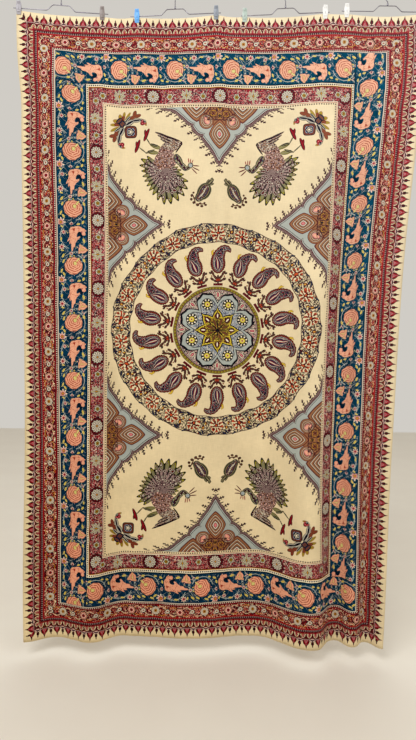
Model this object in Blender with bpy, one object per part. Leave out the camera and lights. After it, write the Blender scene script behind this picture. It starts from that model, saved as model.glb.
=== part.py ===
# Kalamkari panel hung from four clip hangers.
# Metres, +Z up. The cloth's front faces -Y. The origin is the seat of the
# hooks: the line where the four hooks rest on whatever holds them.
import math

import bmesh
import bpy
from mathutils import Vector

# ---------------------------------------------------------------- cloth ----
CLOTH_WIDE = 1.54          # flat width
CLOTH_LONG = 2.40          # flat length, top edge to hem
CLOTH_THICK = 0.0012       # cotton with its turned hem, made solid
CLOTH_TOP = -0.095         # height of the top edge's base line under the seat
EDGE_STEPS = 0.014         # cloth this near a clip's centre stays straight
GRIP_LONG = 0.02           # length of cloth that the clips keep flat
SAG_LONG = 0.25            # how fast the sag of the top edge dies away
TOP_BLEND = 0.35           # length over which the folds take over from the top
FOLD_ROUND = 0.28          # share of each flank that rounds a crest or valley

# Folds. Across is the place on the flat cloth from its middle line, positive
# to the viewer's right. Reach is how far the cloth comes forward there, at
# four distances down from the top edge.
REACH_AT = (0.0, 0.8, 1.6, 2.4)
FOLDS = (
    # name                 across  top     upper   lower   hem
    ("left edge",          -0.770, 0.002, -0.004,  0.020,  0.051),
    ("left ripple",        -0.640, 0.044,  0.020,  0.037,  0.007),
    ("left crest",         -0.500, -0.020, 0.007,  0.069,  0.049),
    ("left step",          -0.360, -0.001, -0.039, 0.000, -0.009),
    ("middle swell",       -0.100, -0.007, -0.002, 0.002,  0.010),
    ("hollow",              0.150, 0.003, -0.037, -0.043, -0.021),
    ("great fold",          0.405, -0.009, 0.035,  0.077,  0.088),
    ("crease",              0.537, -0.004, -0.018, 0.012,  0.009),
    ("right crest",         0.620, 0.017,  0.032,  0.062,  0.059),
    ("right valley",        0.690, 0.005,  0.011,  0.028,  0.020),
    ("right edge",          0.770, 0.016,  0.023,  0.057,  0.068),
)

# -------------------------------------------------------------- hangers ----
# One row a hanger: its two clips (left, right) and its hook.
# Drop is how far the cloth's edge hangs under its base line at the clip, bar
# is the bar's height over that base line, over is the bar's end past the clip.
HANGERS = (
    # name       clip across      reach             drop              bar              over             hook across
    ("first",   (-0.761, -0.453), (0.018, -0.016),  (0.003, 0.004),   (0.0065, 0.008), (0.018, 0.025),  -0.6035),
    ("second",  (-0.317, -0.018), (-0.002, 0.002),  (0.014, 0.005),   (-0.009, 0.0035), (0.024, 0.020), -0.171),
    ("third",   (0.090, 0.394),   (0.003, -0.003),  (0.012, -0.006),  (-0.006, 0.012), (0.012, 0.019),  0.246),
    ("fourth",  (0.478, 0.761),   (-0.010, 0.013),  (-0.009, 0.001),  (0.022, 0.0065), (0.017, 0.019),  0.631),
)
SAGS = (0.006, 0.004, 0.007, 0.003, 0.006, 0.0, 0.009)   # between clip and clip

WIRE = 0.0016              # radius of bar and hook wire
HUMP_FOOT = 0.052          # half width of the bar's hump at its foot
HUMP_HEAD = 0.031          # and at its flat head
HUMP_TALL = 0.021
HOOK_RADIUS = 0.0205       # middle line of the hook's bow
SLEEVE = 0.0030            # radius of the sleeve that joins hook and hump
SLEEVE_LONG = 0.007
APART = 0.0004             # gap between neighbouring pieces
SIDES = 8                  # facets round a wire

# Jaw of a clip, from its tip up to its thumb tab: height over the bar, inner
# and outer distance from the cloth's middle plane, half width.
JAW = (
    # height   inner    outer    half width
    (-0.0240,  0.0010,  0.0026,  0.0080),
    (-0.0160,  0.0010,  0.0040,  0.0083),
    (-0.0060,  0.0021,  0.0060,  0.0095),
    (0.0050,   0.0021,  0.0062,  0.0095),
    (0.0140,   0.0042,  0.0066,  0.0082),
    (0.0240,   0.0068,  0.0088,  0.0072),
)

CLIPS = [(h[1][i], h[2][i], h[3][i]) for h in HANGERS for i in (0, 1)]


def ease(u):
    """Rise from 0 to 1 with a straight flank and two rounded ends."""
    u = min(max(u, 0.0), 1.0)
    steep = 1.0 / (1.0 - FOLD_ROUND)
    if u < FOLD_ROUND:
        return 0.5 * steep * u * u / FOLD_ROUND
    if u > 1.0 - FOLD_ROUND:
        return 1.0 - 0.5 * steep * (1.0 - u) ** 2 / FOLD_ROUND
    return steep * (u - 0.5 * FOLD_ROUND)


def down_curve(values, t):
    """A smooth curve through a fold's four reaches."""
    k = min(max(sum(1 for a in REACH_AT if a <= t) - 1, 0), 2)
    u = (min(t, REACH_AT[-1]) - REACH_AT[k]) / (REACH_AT[k + 1] - REACH_AT[k])

    def slope(i):
        low, high = max(i - 1, 0), min(i + 1, 3)
        return (values[high] - values[low]) / (high - low)

    return ((2 * u ** 3 - 3 * u ** 2 + 1) * values[k]
            + (u ** 3 - 2 * u ** 2 + u) * slope(k)
            + (3 * u ** 2 - 2 * u ** 3) * values[k + 1]
            + (u ** 3 - u ** 2) * slope(k + 1))


def between(knots, s):
    """Straight lines through (place, value) knots."""
    if s <= knots[0][0]:
        low, high = knots[0], knots[1]
    elif s >= knots[-1][0]:
        low, high = knots[-2], knots[-1]
    else:
        i = next(n for n in range(1, len(knots)) if s <= knots[n][0])
        low, high = knots[i - 1], knots[i]
    return low[1] + (high[1] - low[1]) * (s - low[0]) / (high[0] - low[0])


def bar_reach(s):
    """Reach of the top edge: straight along each bar, and from bar to bar."""
    knots = []
    for _, across, reach, _, _, _, _ in HANGERS:
        slope = (reach[1] - reach[0]) / (across[1] - across[0])
        knots.append((across[0] - EDGE_STEPS, reach[0] - slope * EDGE_STEPS))
        knots.append((across[1] + EDGE_STEPS, reach[1] + slope * EDGE_STEPS))
    return between(knots, s)


def reach_at(s, t):
    """How far the cloth comes forward at a flat place (s across, t down)."""
    i = next((n for n in range(1, len(FOLDS)) if s <= FOLDS[n][1]), len(FOLDS) - 1)
    left, right = FOLDS[i - 1], FOLDS[i]
    u = ease((s - left[1]) / (right[1] - left[1]))
    fold = down_curve(left[2:], t) * (1 - u) + down_curve(right[2:], t) * u
    g = min(max((t - GRIP_LONG) / TOP_BLEND, 0.0), 1.0)
    g = g * g * (3 - 2 * g)
    return bar_reach(s) * (1 - g) + fold * g


def drop_at(s, t):
    """How far a place hangs under its flat height, from the sagging top."""
    knots = []
    for across, _, drop in CLIPS:
        knots += [(across - EDGE_STEPS, drop), (across + EDGE_STEPS, drop)]
    value = between(knots, s) if knots[0][0] < s < knots[-1][0] else CLIPS[0 if s < 0 else -1][2]
    for i, sag in enumerate(SAGS):
        low, high = CLIPS[i][0] + EDGE_STEPS, CLIPS[i + 1][0] - EDGE_STEPS
        if low < s < high:
            u = (s - low) / (high - low)
            value += sag * 4 * u * (1 - u)
    return value * math.exp(-max(t - GRIP_LONG, 0.0) / SAG_LONG)


def across_row(places, t, step=0.004):
    """Real x of each flat place in a row, keeping the cloth's own length."""
    count = int(round(CLOTH_WIDE / step))
    edges = [-CLOTH_WIDE / 2 + CLOTH_WIDE * i / count for i in range(count + 1)]
    out = [reach_at(s, t) for s in edges]
    xs = [0.0]
    for i in range(count):
        wide = edges[i + 1] - edges[i]
        slope = (out[i + 1] - out[i]) / wide
        xs.append(xs[-1] + wide * math.sqrt(max(1 - slope * slope, 0.1)))
    table = list(zip(edges, xs))
    middle = between(table, 0.0)
    return [between(table, s) - middle for s in places]


def cloth_columns():
    """Flat places of the cloth's columns: folds first, then the clips."""
    places = []
    for left, right in zip(FOLDS, FOLDS[1:]):
        wide = right[1] - left[1]
        for u in (0.0, FOLD_ROUND, 1 - FOLD_ROUND):
            places.append(left[1] + wide * u)
    places.append(FOLDS[-1][1])
    kinks = [a + d for a, _, _ in CLIPS for d in (-EDGE_STEPS, EDGE_STEPS)
             if abs(a + d) < CLOTH_WIDE / 2 - 0.003]
    middles = [CLIPS[i][0] * 0.5 + CLIPS[i + 1][0] * 0.5 for i in (0, 2, 4, 6)]
    keep = [-CLOTH_WIDE / 2, CLOTH_WIDE / 2] + kinks
    for p in places + middles:
        if all(abs(p - k) > 0.012 for k in keep):
            keep.append(p)
    return sorted(keep)


def cloth_rows():
    """Flat places of the cloth's rows: closer together near the top."""
    near = [0.0, 0.02, 0.05, 0.09, 0.14, 0.20, 0.28, 0.37]
    rest = 24
    return near + [near[-1] + (CLOTH_LONG - near[-1]) * (i + 1) / rest for i in range(rest)]


def new_object(name, mesh_maker):
    bm = bmesh.new()
    mesh_maker(bm)
    bmesh.ops.triangulate(bm, faces=bm.faces[:])
    bmesh.ops.recalc_face_normals(bm, faces=bm.faces[:])
    mesh = bpy.data.meshes.new(name)
    bm.to_mesh(mesh)
    bm.free()
    thing = bpy.data.objects.new(name, mesh)
    bpy.context.scene.collection.objects.link(thing)
    return thing


def cloth_mesh(bm):
    columns, rows = cloth_columns(), cloth_rows()
    grid = []
    for t in rows:
        xs = across_row(columns, t)
        grid.append([Vector((x, -reach_at(s, t), CLOTH_TOP - t - drop_at(s, t)))
                     for s, x in zip(columns, xs)])
    wide, tall = len(columns), len(rows)
    front, back = [], []
    for j in range(tall):
        front.append([])
        back.append([])
        for i in range(wide):
            right = grid[j][min(i + 1, wide - 1)] - grid[j][max(i - 1, 0)]
            down = grid[min(j + 1, tall - 1)][i] - grid[max(j - 1, 0)][i]
            out = down.cross(right).normalized()        # points to the front
            if out.y > 0:
                out = -out
            front[j].append(bm.verts.new(grid[j][i] + out * CLOTH_THICK / 2))
            back[j].append(bm.verts.new(grid[j][i] - out * CLOTH_THICK / 2))
    for j in range(tall - 1):
        for i in range(wide - 1):
            a, b, c, d = front[j][i], front[j][i + 1], front[j + 1][i + 1], front[j + 1][i]
            e, f, g, h = back[j][i], back[j][i + 1], back[j + 1][i + 1], back[j + 1][i]
            if (i + j) % 2:
                bm.faces.new((a, d, c)), bm.faces.new((a, c, b))
                bm.faces.new((e, g, h)), bm.faces.new((e, f, g))
            else:
                bm.faces.new((a, d, b)), bm.faces.new((b, d, c))
                bm.faces.new((e, f, h)), bm.faces.new((f, g, h))
    for j in range(tall - 1):
        for i in (0, wide - 1):
            bm.faces.new((front[j][i], front[j + 1][i], back[j + 1][i], back[j][i]))
    for i in range(wide - 1):
        for j in (0, tall - 1):
            bm.faces.new((front[j][i], front[j][i + 1], back[j][i + 1], back[j][i]))


def sweep(bm, points, radii, normal):
    """A closed wire along a flat path; normal is square to the path's plane."""
    rings = []
    for n, point in enumerate(points):
        before = points[max(n - 1, 0)]
        after = points[min(n + 1, len(points) - 1)]
        along = (after - before).normalized()
        side = along.cross(normal).normalized()
        if 0 < n < len(points) - 1:
            inward = (point - before).normalized()
            stretch = 1 / max(inward.dot(along), 0.5)
        else:
            stretch = 1.0
        ring = []
        for k in range(SIDES):
            angle = 2 * math.pi * (k + 0.5) / SIDES
            ring.append(bm.verts.new(point + radii[n] * (
                normal * math.cos(angle) + side * math.sin(angle) * stretch)))
        rings.append(ring)
    for low, high in zip(rings, rings[1:]):
        for k in range(SIDES):
            bm.faces.new((low[k], low[(k + 1) % SIDES], high[(k + 1) % SIDES], high[k]))
    bm.faces.new(rings[0])
    bm.faces.new(rings[-1])


def hanger_line(hanger):
    """The two clip places of a hanger's bar and its direction."""
    _, across, reach, _, bar, _, _ = hanger
    xs = across_row(across, 0.0)
    ends = [Vector((x, -r, CLOTH_TOP + b)) for x, r, b in zip(xs, reach, bar)]
    flat = Vector((ends[1].x - ends[0].x, ends[1].y - ends[0].y, 0)).normalized()
    return ends, flat


def on_bar(hanger, s):
    """Point of the bar's straight line over a flat place of the cloth."""
    ends, _ = hanger_line(hanger)
    x = across_row([s], 0.0)[0]
    return ends[0].lerp(ends[1], (x - ends[0].x) / (ends[1].x - ends[0].x))


def bar_mesh(hanger):
    ends, flat = hanger_line(hanger)
    over, centre = hanger[5], on_bar(hanger, hanger[6])
    along = (ends[1] - ends[0]).normalized()
    up = Vector((0, 0, 1))
    path = [ends[0] - along * over[0],
            centre - along * HUMP_FOOT,
            centre - along * HUMP_HEAD + up * HUMP_TALL,
            centre + along * HUMP_HEAD + up * HUMP_TALL,
            centre + along * HUMP_FOOT,
            ends[1] + along * over[1]]
    normal = flat.cross(up).normalized()
    return lambda bm: sweep(bm, path, [WIRE] * len(path), normal)


def hook_mesh(hanger):
    base = on_bar(hanger, hanger[6]) + Vector((0, 0, HUMP_TALL + WIRE + APART))
    middle = WIRE - HOOK_RADIUS         # the seat under the crown is at z = 0
    path = [(0.0, base.z), (0.0, base.z + SLEEVE_LONG), (0.0, base.z + SLEEVE_LONG + 0.0015),
            (0.0, middle - HOOK_RADIUS * 1.32), (0.0055, middle - HOOK_RADIUS * 1.02)]
    for step in range(14):
        angle = math.radians(-48 + (205 + 48) * step / 13)
        path.append((HOOK_RADIUS * math.cos(angle), middle + HOOK_RADIUS * math.sin(angle)))
    points = [Vector((base.x, base.y + y, z)) for y, z in path]
    radii = [SLEEVE, SLEEVE] + [WIRE] * (len(points) - 2)
    return lambda bm: sweep(bm, points, radii, Vector((1, 0, 0)))


def jaw_mesh(hanger, side, facing):
    ends, flat = hanger_line(hanger)
    centre = ends[side]
    out = Vector((0, 0, 1)).cross(flat).normalized()   # points to the back
    out = -out if facing == "front" else out

    def make(bm):
        rings = []
        for height, inner, outer, half in JAW:
            level = centre + Vector((0, 0, height))
            rings.append([bm.verts.new(level + flat * a + out * b) for a, b in (
                (-half, inner), (half, inner), (half - 0.001, outer), (-half + 0.001, outer))])
        for low, high in zip(rings, rings[1:]):
            for k in range(4):
                bm.faces.new((low[k], low[(k + 1) % 4], high[(k + 1) % 4], high[k]))
        bm.faces.new(rings[0])
        bm.faces.new(rings[-1])
    return make


def main():
    for thing in list(bpy.data.objects):
        bpy.data.objects.remove(thing)
    new_object("cloth", cloth_mesh)
    number = 0
    for n, hanger in enumerate(HANGERS, 1):
        new_object("bar_%d" % n, bar_mesh(hanger))
        new_object("hook_%d" % n, hook_mesh(hanger))
        for side in (0, 1):
            number += 1
            for facing in ("front", "back"):
                new_object("jaw_%s_%d" % (facing, number), jaw_mesh(hanger, side, facing))


main()
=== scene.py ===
import math

import bmesh
import bpy
from bpy.props import FloatProperty, FloatVectorProperty, PointerProperty
from mathutils import Matrix, Vector


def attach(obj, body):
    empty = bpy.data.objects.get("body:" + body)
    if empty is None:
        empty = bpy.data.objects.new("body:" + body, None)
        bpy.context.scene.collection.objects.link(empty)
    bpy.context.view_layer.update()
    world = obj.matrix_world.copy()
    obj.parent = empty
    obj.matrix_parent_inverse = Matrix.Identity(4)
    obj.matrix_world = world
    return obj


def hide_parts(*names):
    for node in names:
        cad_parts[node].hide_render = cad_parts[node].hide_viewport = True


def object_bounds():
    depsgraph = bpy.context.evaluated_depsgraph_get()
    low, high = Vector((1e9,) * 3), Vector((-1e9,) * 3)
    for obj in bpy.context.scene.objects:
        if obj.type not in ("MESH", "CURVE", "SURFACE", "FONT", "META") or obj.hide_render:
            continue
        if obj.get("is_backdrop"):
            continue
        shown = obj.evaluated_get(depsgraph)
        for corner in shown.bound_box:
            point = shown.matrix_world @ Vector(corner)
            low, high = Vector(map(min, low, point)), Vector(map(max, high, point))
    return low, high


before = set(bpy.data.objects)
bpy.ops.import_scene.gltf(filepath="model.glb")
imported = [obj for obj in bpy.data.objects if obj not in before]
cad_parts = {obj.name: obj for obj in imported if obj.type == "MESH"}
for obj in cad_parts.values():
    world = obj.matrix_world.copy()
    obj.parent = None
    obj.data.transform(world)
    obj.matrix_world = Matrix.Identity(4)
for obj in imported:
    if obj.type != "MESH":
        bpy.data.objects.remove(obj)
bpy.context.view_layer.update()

bl_info = {
    "name": "Kalamkari panel",
    "version": (1, 0, 0),
    "blender": (4, 5, 0),
    "location": "View3D > Sidebar > Panel",
    "description": "A printed cotton panel hung in folds from clip hangers",
    "category": "Object",
}

# The cloth's shape, as in the part's source
CLOTH_WIDE = 1.54
CLOTH_LONG = 2.40
CLOTH_TOP = -0.095         # height of the top edge's base line under the seat
EDGE_STEPS = 0.014         # cloth this near a clip's centre stays straight
GRIP_LONG = 0.02
SAG_LONG = 0.25
TOP_BLEND = 0.35
FOLD_ROUND = 0.28
REACH_AT = (0.0, 0.8, 1.6, 2.4)
FOLDS = (
    # name                 across  top     upper   lower   hem
    ("left edge",          -0.770, 0.002, -0.004,  0.020,  0.051),
    ("left ripple",        -0.640, 0.044,  0.020,  0.037,  0.007),
    ("left crest",         -0.500, -0.020, 0.007,  0.069,  0.049),
    ("left step",          -0.360, -0.001, -0.039, 0.000, -0.009),
    ("middle swell",       -0.100, -0.007, -0.002, 0.002,  0.010),
    ("hollow",              0.150, 0.003, -0.037, -0.043, -0.021),
    ("great fold",          0.405, -0.009, 0.035,  0.077,  0.088),
    ("crease",              0.537, -0.004, -0.018, 0.012,  0.009),
    ("right crest",         0.620, 0.017,  0.032,  0.062,  0.059),
    ("right valley",        0.690, 0.005,  0.011,  0.028,  0.020),
    ("right edge",          0.770, 0.016,  0.023,  0.057,  0.068),
)
HANGERS = (
    # name       clip across      reach             drop              bar              over             hook across
    ("first",   (-0.761, -0.453), (0.018, -0.016),  (0.003, 0.004),   (0.0065, 0.008), (0.018, 0.025),  -0.6035),
    ("second",  (-0.317, -0.018), (-0.002, 0.002),  (0.014, 0.005),   (-0.009, 0.0035), (0.024, 0.020), -0.171),
    ("third",   (0.090, 0.394),   (0.003, -0.003),  (0.012, -0.006),  (-0.006, 0.012), (0.012, 0.019),  0.246),
    ("fourth",  (0.478, 0.761),   (-0.010, 0.013),  (-0.009, 0.001),  (0.022, 0.0065), (0.017, 0.019),  0.631),
)
SAGS = (0.006, 0.004, 0.007, 0.003, 0.006, 0.0, 0.009)
CREASES = (
    # across  lean   first  last  depth
    (0.010,   0.010, 0.15,  1.20, 1.6),
    (-0.330, -0.030, 1.10,  2.30, 2.2),
    (0.345,   0.020, 1.30,  2.35, 2.0),
    (-0.230,  0.060, 0.05,  0.60, -1.6),
    (0.250,  -0.080, 0.05,  0.70, 1.8),
    (-0.560,  0.020, 0.30,  1.60, 1.8),
)
CLIPS = [(h[1][i], h[2][i], h[3][i]) for h in HANGERS for i in (0, 1)]
JAW = (
    # height   inner    outer    half width
    (-0.0240,  0.0010,  0.0026,  0.0080),
    (-0.0160,  0.0010,  0.0040,  0.0083),
    (-0.0060,  0.0021,  0.0060,  0.0095),
    (0.0050,   0.0021,  0.0062,  0.0095),
    (0.0140,   0.0042,  0.0066,  0.0082),
    (0.0240,   0.0068,  0.0088,  0.0072),
)
CLIP_INKS = (("grey", "A09CA2"), ("taupe", "857A76"), ("blue", "5FA8EA"), ("slate", "868D98"),
             ("green", "AFBFB6"), ("white", "EDEDEB"), ("white", "EDEDEB"), ("white", "EDEDEB"))

# The print's plan, in millimetres on the flat cloth, from the medallion's centre.
MIDDLE_DOWN = 1.198        # metres from the top edge to the medallion's centre
FIELD_WIDE = 435           # half width of the cream field
FIELD_TALL = 859           # half height of the cream field
END_STRETCH = 1.018        # the bands at top and hem are this much wider
SIDE_NUDGE = 6.5           # the blue bands of the two sides sit this much nearer the middle
BANDS = (
    # name             outer edge  ground
    ("field guard",        14.0,  "cream"),
    ("inner red band",     69.0,  "crimson"),
    ("pale guard",         84.5,  "white"),
    ("blue band",         198.0,  "blue"),
    ("dark guard",        210.0,  "crimson"),
    ("red band",          256.5,  "red"),
    ("bead guard",        271.0,  "mauve"),
    ("scallops",          296.0,  "maroon"),
    ("leaf row",          400.0,  "cream"),
)

INKS = (
    # name          sRGB hex   what it gives the eye
    ("cream",       "E2D0AA", "undyed cotton, warmed by its wash"),
    ("blue",        "013E58", "indigo ground of the wide band"),
    ("navy",        "011F30", "darker indigo in shapes and outlines"),
    ("crimson",     "8E1A24", "madder ground of the inner band"),
    ("red",         "98191D", "madder ground of the outer band"),
    ("maroon",      "5E181F", "madder over iron, nearly brown"),
    ("fig",         "3A1622", "purple-brown of the fringes"),
    ("rust",        "A34430", "madder over yellow, dark"),
    ("salmon",      "E2A88A", "thin madder of roses and birds"),
    ("blush",       "E6B2A0", "thinnest madder line"),
    ("pink",        "D07F80", "thin madder with a blue cast"),
    ("mauve",       "9E857E", "madder and iron, washed thin"),
    ("orange",      "C0522E", "madder over yellow"),
    ("ochre",       "C08C34", "pomegranate yellow, strong"),
    ("yellow",      "CFB840", "pomegranate yellow, bright"),
    ("pale_leaf",   "DCD28A", "pomegranate yellow, thin"),
    ("olive",       "8E852F", "yellow over iron"),
    ("olive_grey",  "86805E", "yellow over iron, thin"),
    ("stone",       "CBC2AE", "grey-green of pale flowers"),
    ("sky_grey",    "A9AEA6", "thin indigo of the pendants"),
    ("steel",       "9BA2AA", "thin indigo of the medallion"),
    ("slate",       "343A54", "indigo over iron"),
    ("brown",       "74452F", "madder over yellow and iron"),
    ("tan",         "966848", "madder over yellow, washed thin"),
    ("plum",        "3E1C28", "iron and madder outlines"),
    ("black",       "17131A", "iron outlines"),
    ("white",       "EFE3C8", "cotton kept clear of the wash"),
)


def linear(code):
    """Linear colour of an sRGB hex value."""
    parts = [int(code[i:i + 2], 16) / 255 for i in (0, 2, 4)]
    return tuple(c / 12.92 if c <= 0.04045 else ((c + 0.055) / 1.055) ** 2.4 for c in parts) + (1.0,)


def ease(u):
    """Rise from 0 to 1 with a straight flank and two rounded ends."""
    u = min(max(u, 0.0), 1.0)
    steep = 1.0 / (1.0 - FOLD_ROUND)
    if u < FOLD_ROUND:
        return 0.5 * steep * u * u / FOLD_ROUND
    if u > 1.0 - FOLD_ROUND:
        return 1.0 - 0.5 * steep * (1.0 - u) ** 2 / FOLD_ROUND
    return steep * (u - 0.5 * FOLD_ROUND)


def down_curve(values, t):
    """A smooth curve through a fold's four reaches."""
    k = min(max(sum(1 for a in REACH_AT if a <= t) - 1, 0), 2)
    u = (min(t, REACH_AT[-1]) - REACH_AT[k]) / (REACH_AT[k + 1] - REACH_AT[k])

    def slope(i):
        low, high = max(i - 1, 0), min(i + 1, 3)
        return (values[high] - values[low]) / (high - low)

    return ((2 * u ** 3 - 3 * u ** 2 + 1) * values[k]
            + (u ** 3 - 2 * u ** 2 + u) * slope(k)
            + (3 * u ** 2 - 2 * u ** 3) * values[k + 1]
            + (u ** 3 - u ** 2) * slope(k + 1))


def between(knots, s):
    """Straight lines through (place, value) knots."""
    if s <= knots[0][0]:
        low, high = knots[0], knots[1]
    elif s >= knots[-1][0]:
        low, high = knots[-2], knots[-1]
    else:
        i = next(n for n in range(1, len(knots)) if s <= knots[n][0])
        low, high = knots[i - 1], knots[i]
    return low[1] + (high[1] - low[1]) * (s - low[0]) / (high[0] - low[0])


def bar_reach(s):
    """Reach of the top edge: straight along each bar, and from bar to bar."""
    knots = []
    for _, across, reach, _, _, _, _ in HANGERS:
        slope = (reach[1] - reach[0]) / (across[1] - across[0])
        knots.append((across[0] - EDGE_STEPS, reach[0] - slope * EDGE_STEPS))
        knots.append((across[1] + EDGE_STEPS, reach[1] + slope * EDGE_STEPS))
    return between(knots, s)


def reach_at(s, t):
    """How far the cloth comes forward at a flat place (s across, t down)."""
    i = next((n for n in range(1, len(FOLDS)) if s <= FOLDS[n][1]), len(FOLDS) - 1)
    left, right = FOLDS[i - 1], FOLDS[i]
    u = ease((s - left[1]) / (right[1] - left[1]))
    fold = down_curve(left[2:], t) * (1 - u) + down_curve(right[2:], t) * u
    g = min(max((t - GRIP_LONG) / TOP_BLEND, 0.0), 1.0)
    g = g * g * (3 - 2 * g)
    return bar_reach(s) * (1 - g) + fold * g


def crease_at(s, t, creased):
    """Small soft waves and a few long creases, left from folding the cloth away."""
    waves = math.sin(s * 41 + 1.7 * math.sin(t * 3.1)) + 0.6 * math.sin(s * 97 + t * 4.0 + 2 * math.sin(t * 2.3))
    value = 0.7 * waves
    for across, lean, first, last, deep in CREASES:
        fade = min(1.0, max(0.0, (t - first) / 0.15), 1.0) * min(1.0, max(0.0, (last - t) / 0.15))
        off = (s - across - lean * t) / 0.014
        value += deep * fade * (math.exp(-off * off) - 0.5 * math.exp(-(off - 1.9) ** 2))
    return creased * value


def drop_at(s, t):
    """How far a place hangs under its flat height, from the sagging top."""
    knots = []
    for across, _, drop in CLIPS:
        knots += [(across - EDGE_STEPS, drop), (across + EDGE_STEPS, drop)]
    value = between(knots, s) if knots[0][0] < s < knots[-1][0] else CLIPS[0 if s < 0 else -1][2]
    for i, sag in enumerate(SAGS):
        low, high = CLIPS[i][0] + EDGE_STEPS, CLIPS[i + 1][0] - EDGE_STEPS
        if low < s < high:
            u = (s - low) / (high - low)
            value += sag * 4 * u * (1 - u)
    return value * math.exp(-max(t - GRIP_LONG, 0.0) / SAG_LONG)


def across_row(places, t, step=0.004):
    """Real x of each flat place in a row, keeping the cloth's own length."""
    count = int(round(CLOTH_WIDE / step))
    edges = [-CLOTH_WIDE / 2 + CLOTH_WIDE * i / count for i in range(count + 1)]
    out = [reach_at(s, t) for s in edges]
    xs = [0.0]
    for i in range(count):
        wide = edges[i + 1] - edges[i]
        slope = (out[i + 1] - out[i]) / wide
        xs.append(xs[-1] + wide * math.sqrt(max(1 - slope * slope, 0.1)))
    found, k = [], 0
    middle = xs[count // 2]
    for s in places:
        while k < count - 1 and edges[k + 1] < s:
            k += 1
        found.append(xs[k] + (xs[k + 1] - xs[k]) * (s - edges[k]) / (edges[k + 1] - edges[k]) - middle)
    return found


def put(tree, kind, *inputs, **settings):
    """Add a node: its settings, then its inputs in order, each a socket or a value."""
    kind, _, operation = kind.partition(".")
    made = tree.nodes.new(kind if kind.startswith("NodeGroup") else "ShaderNode" + kind)
    if operation:
        made.operation = operation
    for name, value in settings.items():
        setattr(made, name, value)
    for socket, value in zip([s for s in made.inputs if s.enabled], inputs):
        if isinstance(value, bpy.types.NodeSocket):
            tree.links.new(value, socket)
        elif value is not None:
            socket.default_value = value
    return next(s for s in made.outputs if s.enabled)


def split(t, vec):
    return put(t, "VectorMath.DOT_PRODUCT", vec, (1, 0, 0)), put(t, "VectorMath.DOT_PRODUCT", vec, (0, 1, 0))


def motif_at(t, vec, x, y, wide, tall=None, turn=0):
    """The print's coordinates, moved, turned and scaled to one motif."""
    tall = tall or wide
    if not turn:
        return put(t, "VectorMath.MULTIPLY_ADD", vec, (1 / wide, 1 / tall, 0), (-x / wide, -y / tall, 0))
    c, s = math.cos(math.radians(turn)), math.sin(math.radians(turn))
    from_middle = put(t, "VectorMath.SUBTRACT", vec, (x, y, 0))
    return put(t, "CombineXYZ", put(t, "VectorMath.DOT_PRODUCT", from_middle, (c / wide, s / wide, 0)),
               put(t, "VectorMath.DOT_PRODUCT", from_middle, (-s / tall, c / tall, 0)), 0.0)


def brush(*strokes):
    """Pointed strokes between two places: (x, y, x, y, half width) each."""
    return [((a + c) / 2, (b + d) / 2, math.hypot(c - a, d - b) / 2, wide,
             math.degrees(math.atan2(d - b, c - a))) for a, b, c, d, wide in strokes]


def nearest(t, vec, rows, found=None):
    """How near the closest of some drops is: 0 on its spine, 1 on its edge."""
    for x, y, wide, tall, turn in rows:
        if wide < tall:
            wide, tall, turn = tall, wide, turn + 90
        spine = math.sqrt(wide * wide - tall * tall)
        c, s = spine * math.cos(math.radians(turn)), spine * math.sin(math.radians(turn))
        away = put(t, "VectorMath.DISTANCE", vec, (x - c, y - s, 0))
        if spine:
            away = put(t, "Math.ADD", away, put(t, "VectorMath.DISTANCE", vec, (x + c, y + s, 0)))
            away = put(t, "Math.MULTIPLY_ADD", away, 0.5 / (wide - spine), -spine / (wide - spine))
            away = put(t, "Math.SQRT", away)
        else:
            away = put(t, "Math.DIVIDE", away, wide)
        found = away if found is None else put(t, "Math.MINIMUM", found, away)
    return found


def dye(t, below, away, stops, inks):
    """Lay rings of ink over the cloth: (from how near, ink or nothing) each."""
    made = put(t, "ValToRGB", away).node
    ramp = made.color_ramp
    ramp.interpolation = "CONSTANT"
    while len(ramp.elements) < len(stops):
        ramp.elements.new(0.5)
    for element, (place, ink) in zip(ramp.elements, stops):
        element.position = place
        element.color = inks[ink] if ink else (0, 0, 0, 0)
    return put(t, "Mix", made.outputs[1], below, made.outputs[0], data_type="RGBA")


def cover(t, below, mask, ink, inks):
    """Lay one ink where the mask is 1."""
    return put(t, "Mix", mask, below, inks[ink], data_type="RGBA")


def tint(t, below, mask, share, ink, inks):
    """Lay a thin wash of one ink where the mask is 1."""
    return cover(t, below, put(t, "Math.MULTIPLY", mask, share), ink, inks)


def curve(t, value, points):
    """A drawn profile: value 0 to 1 in, profile out."""
    made = put(t, "FloatCurve", None, value).node
    line = made.mapping.curves[0]
    while len(line.points) < len(points):
        line.points.new(0.5, 0.5)
    for point, (x, y) in zip(line.points, points):
        point.location = (x, y)
        point.handle_type = "AUTO_CLAMPED"
    made.mapping.update()
    return made.outputs[0]


def swing(t, local, count):
    """Cosine of the angle round a motif, count times round."""
    x, y = split(t, local)
    return put(t, "Math.COSINE", put(t, "Math.MULTIPLY", put(t, "Math.ARCTAN2", y, x), float(count)))


def petalled(t, local, count, depth):
    """Nearness to a flower with that many petals."""
    wave = put(t, "Math.MULTIPLY_ADD", swing(t, local, count), -depth, 1.0)
    return put(t, "Math.MULTIPLY", put(t, "VectorMath.LENGTH", local), wave)


def round_and_round(t, vec, count, turn):
    """Polar repeats: the first lies along +X turned by turn degrees."""
    x, y = split(t, vec)
    far = put(t, "VectorMath.LENGTH", vec)
    angle = put(t, "Math.SUBTRACT", put(t, "Math.ARCTAN2", y, x), math.radians(turn))
    angle = put(t, "Math.WRAP", angle, math.pi / count, -math.pi / count)
    return put(t, "CombineXYZ",
               put(t, "Math.MULTIPLY", far, put(t, "Math.COSINE", angle)),
               put(t, "Math.MULTIPLY", far, put(t, "Math.SINE", angle)), 0.0)


def less(t, value, limit):
    return put(t, "Math.LESS_THAN", value, limit)


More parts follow.
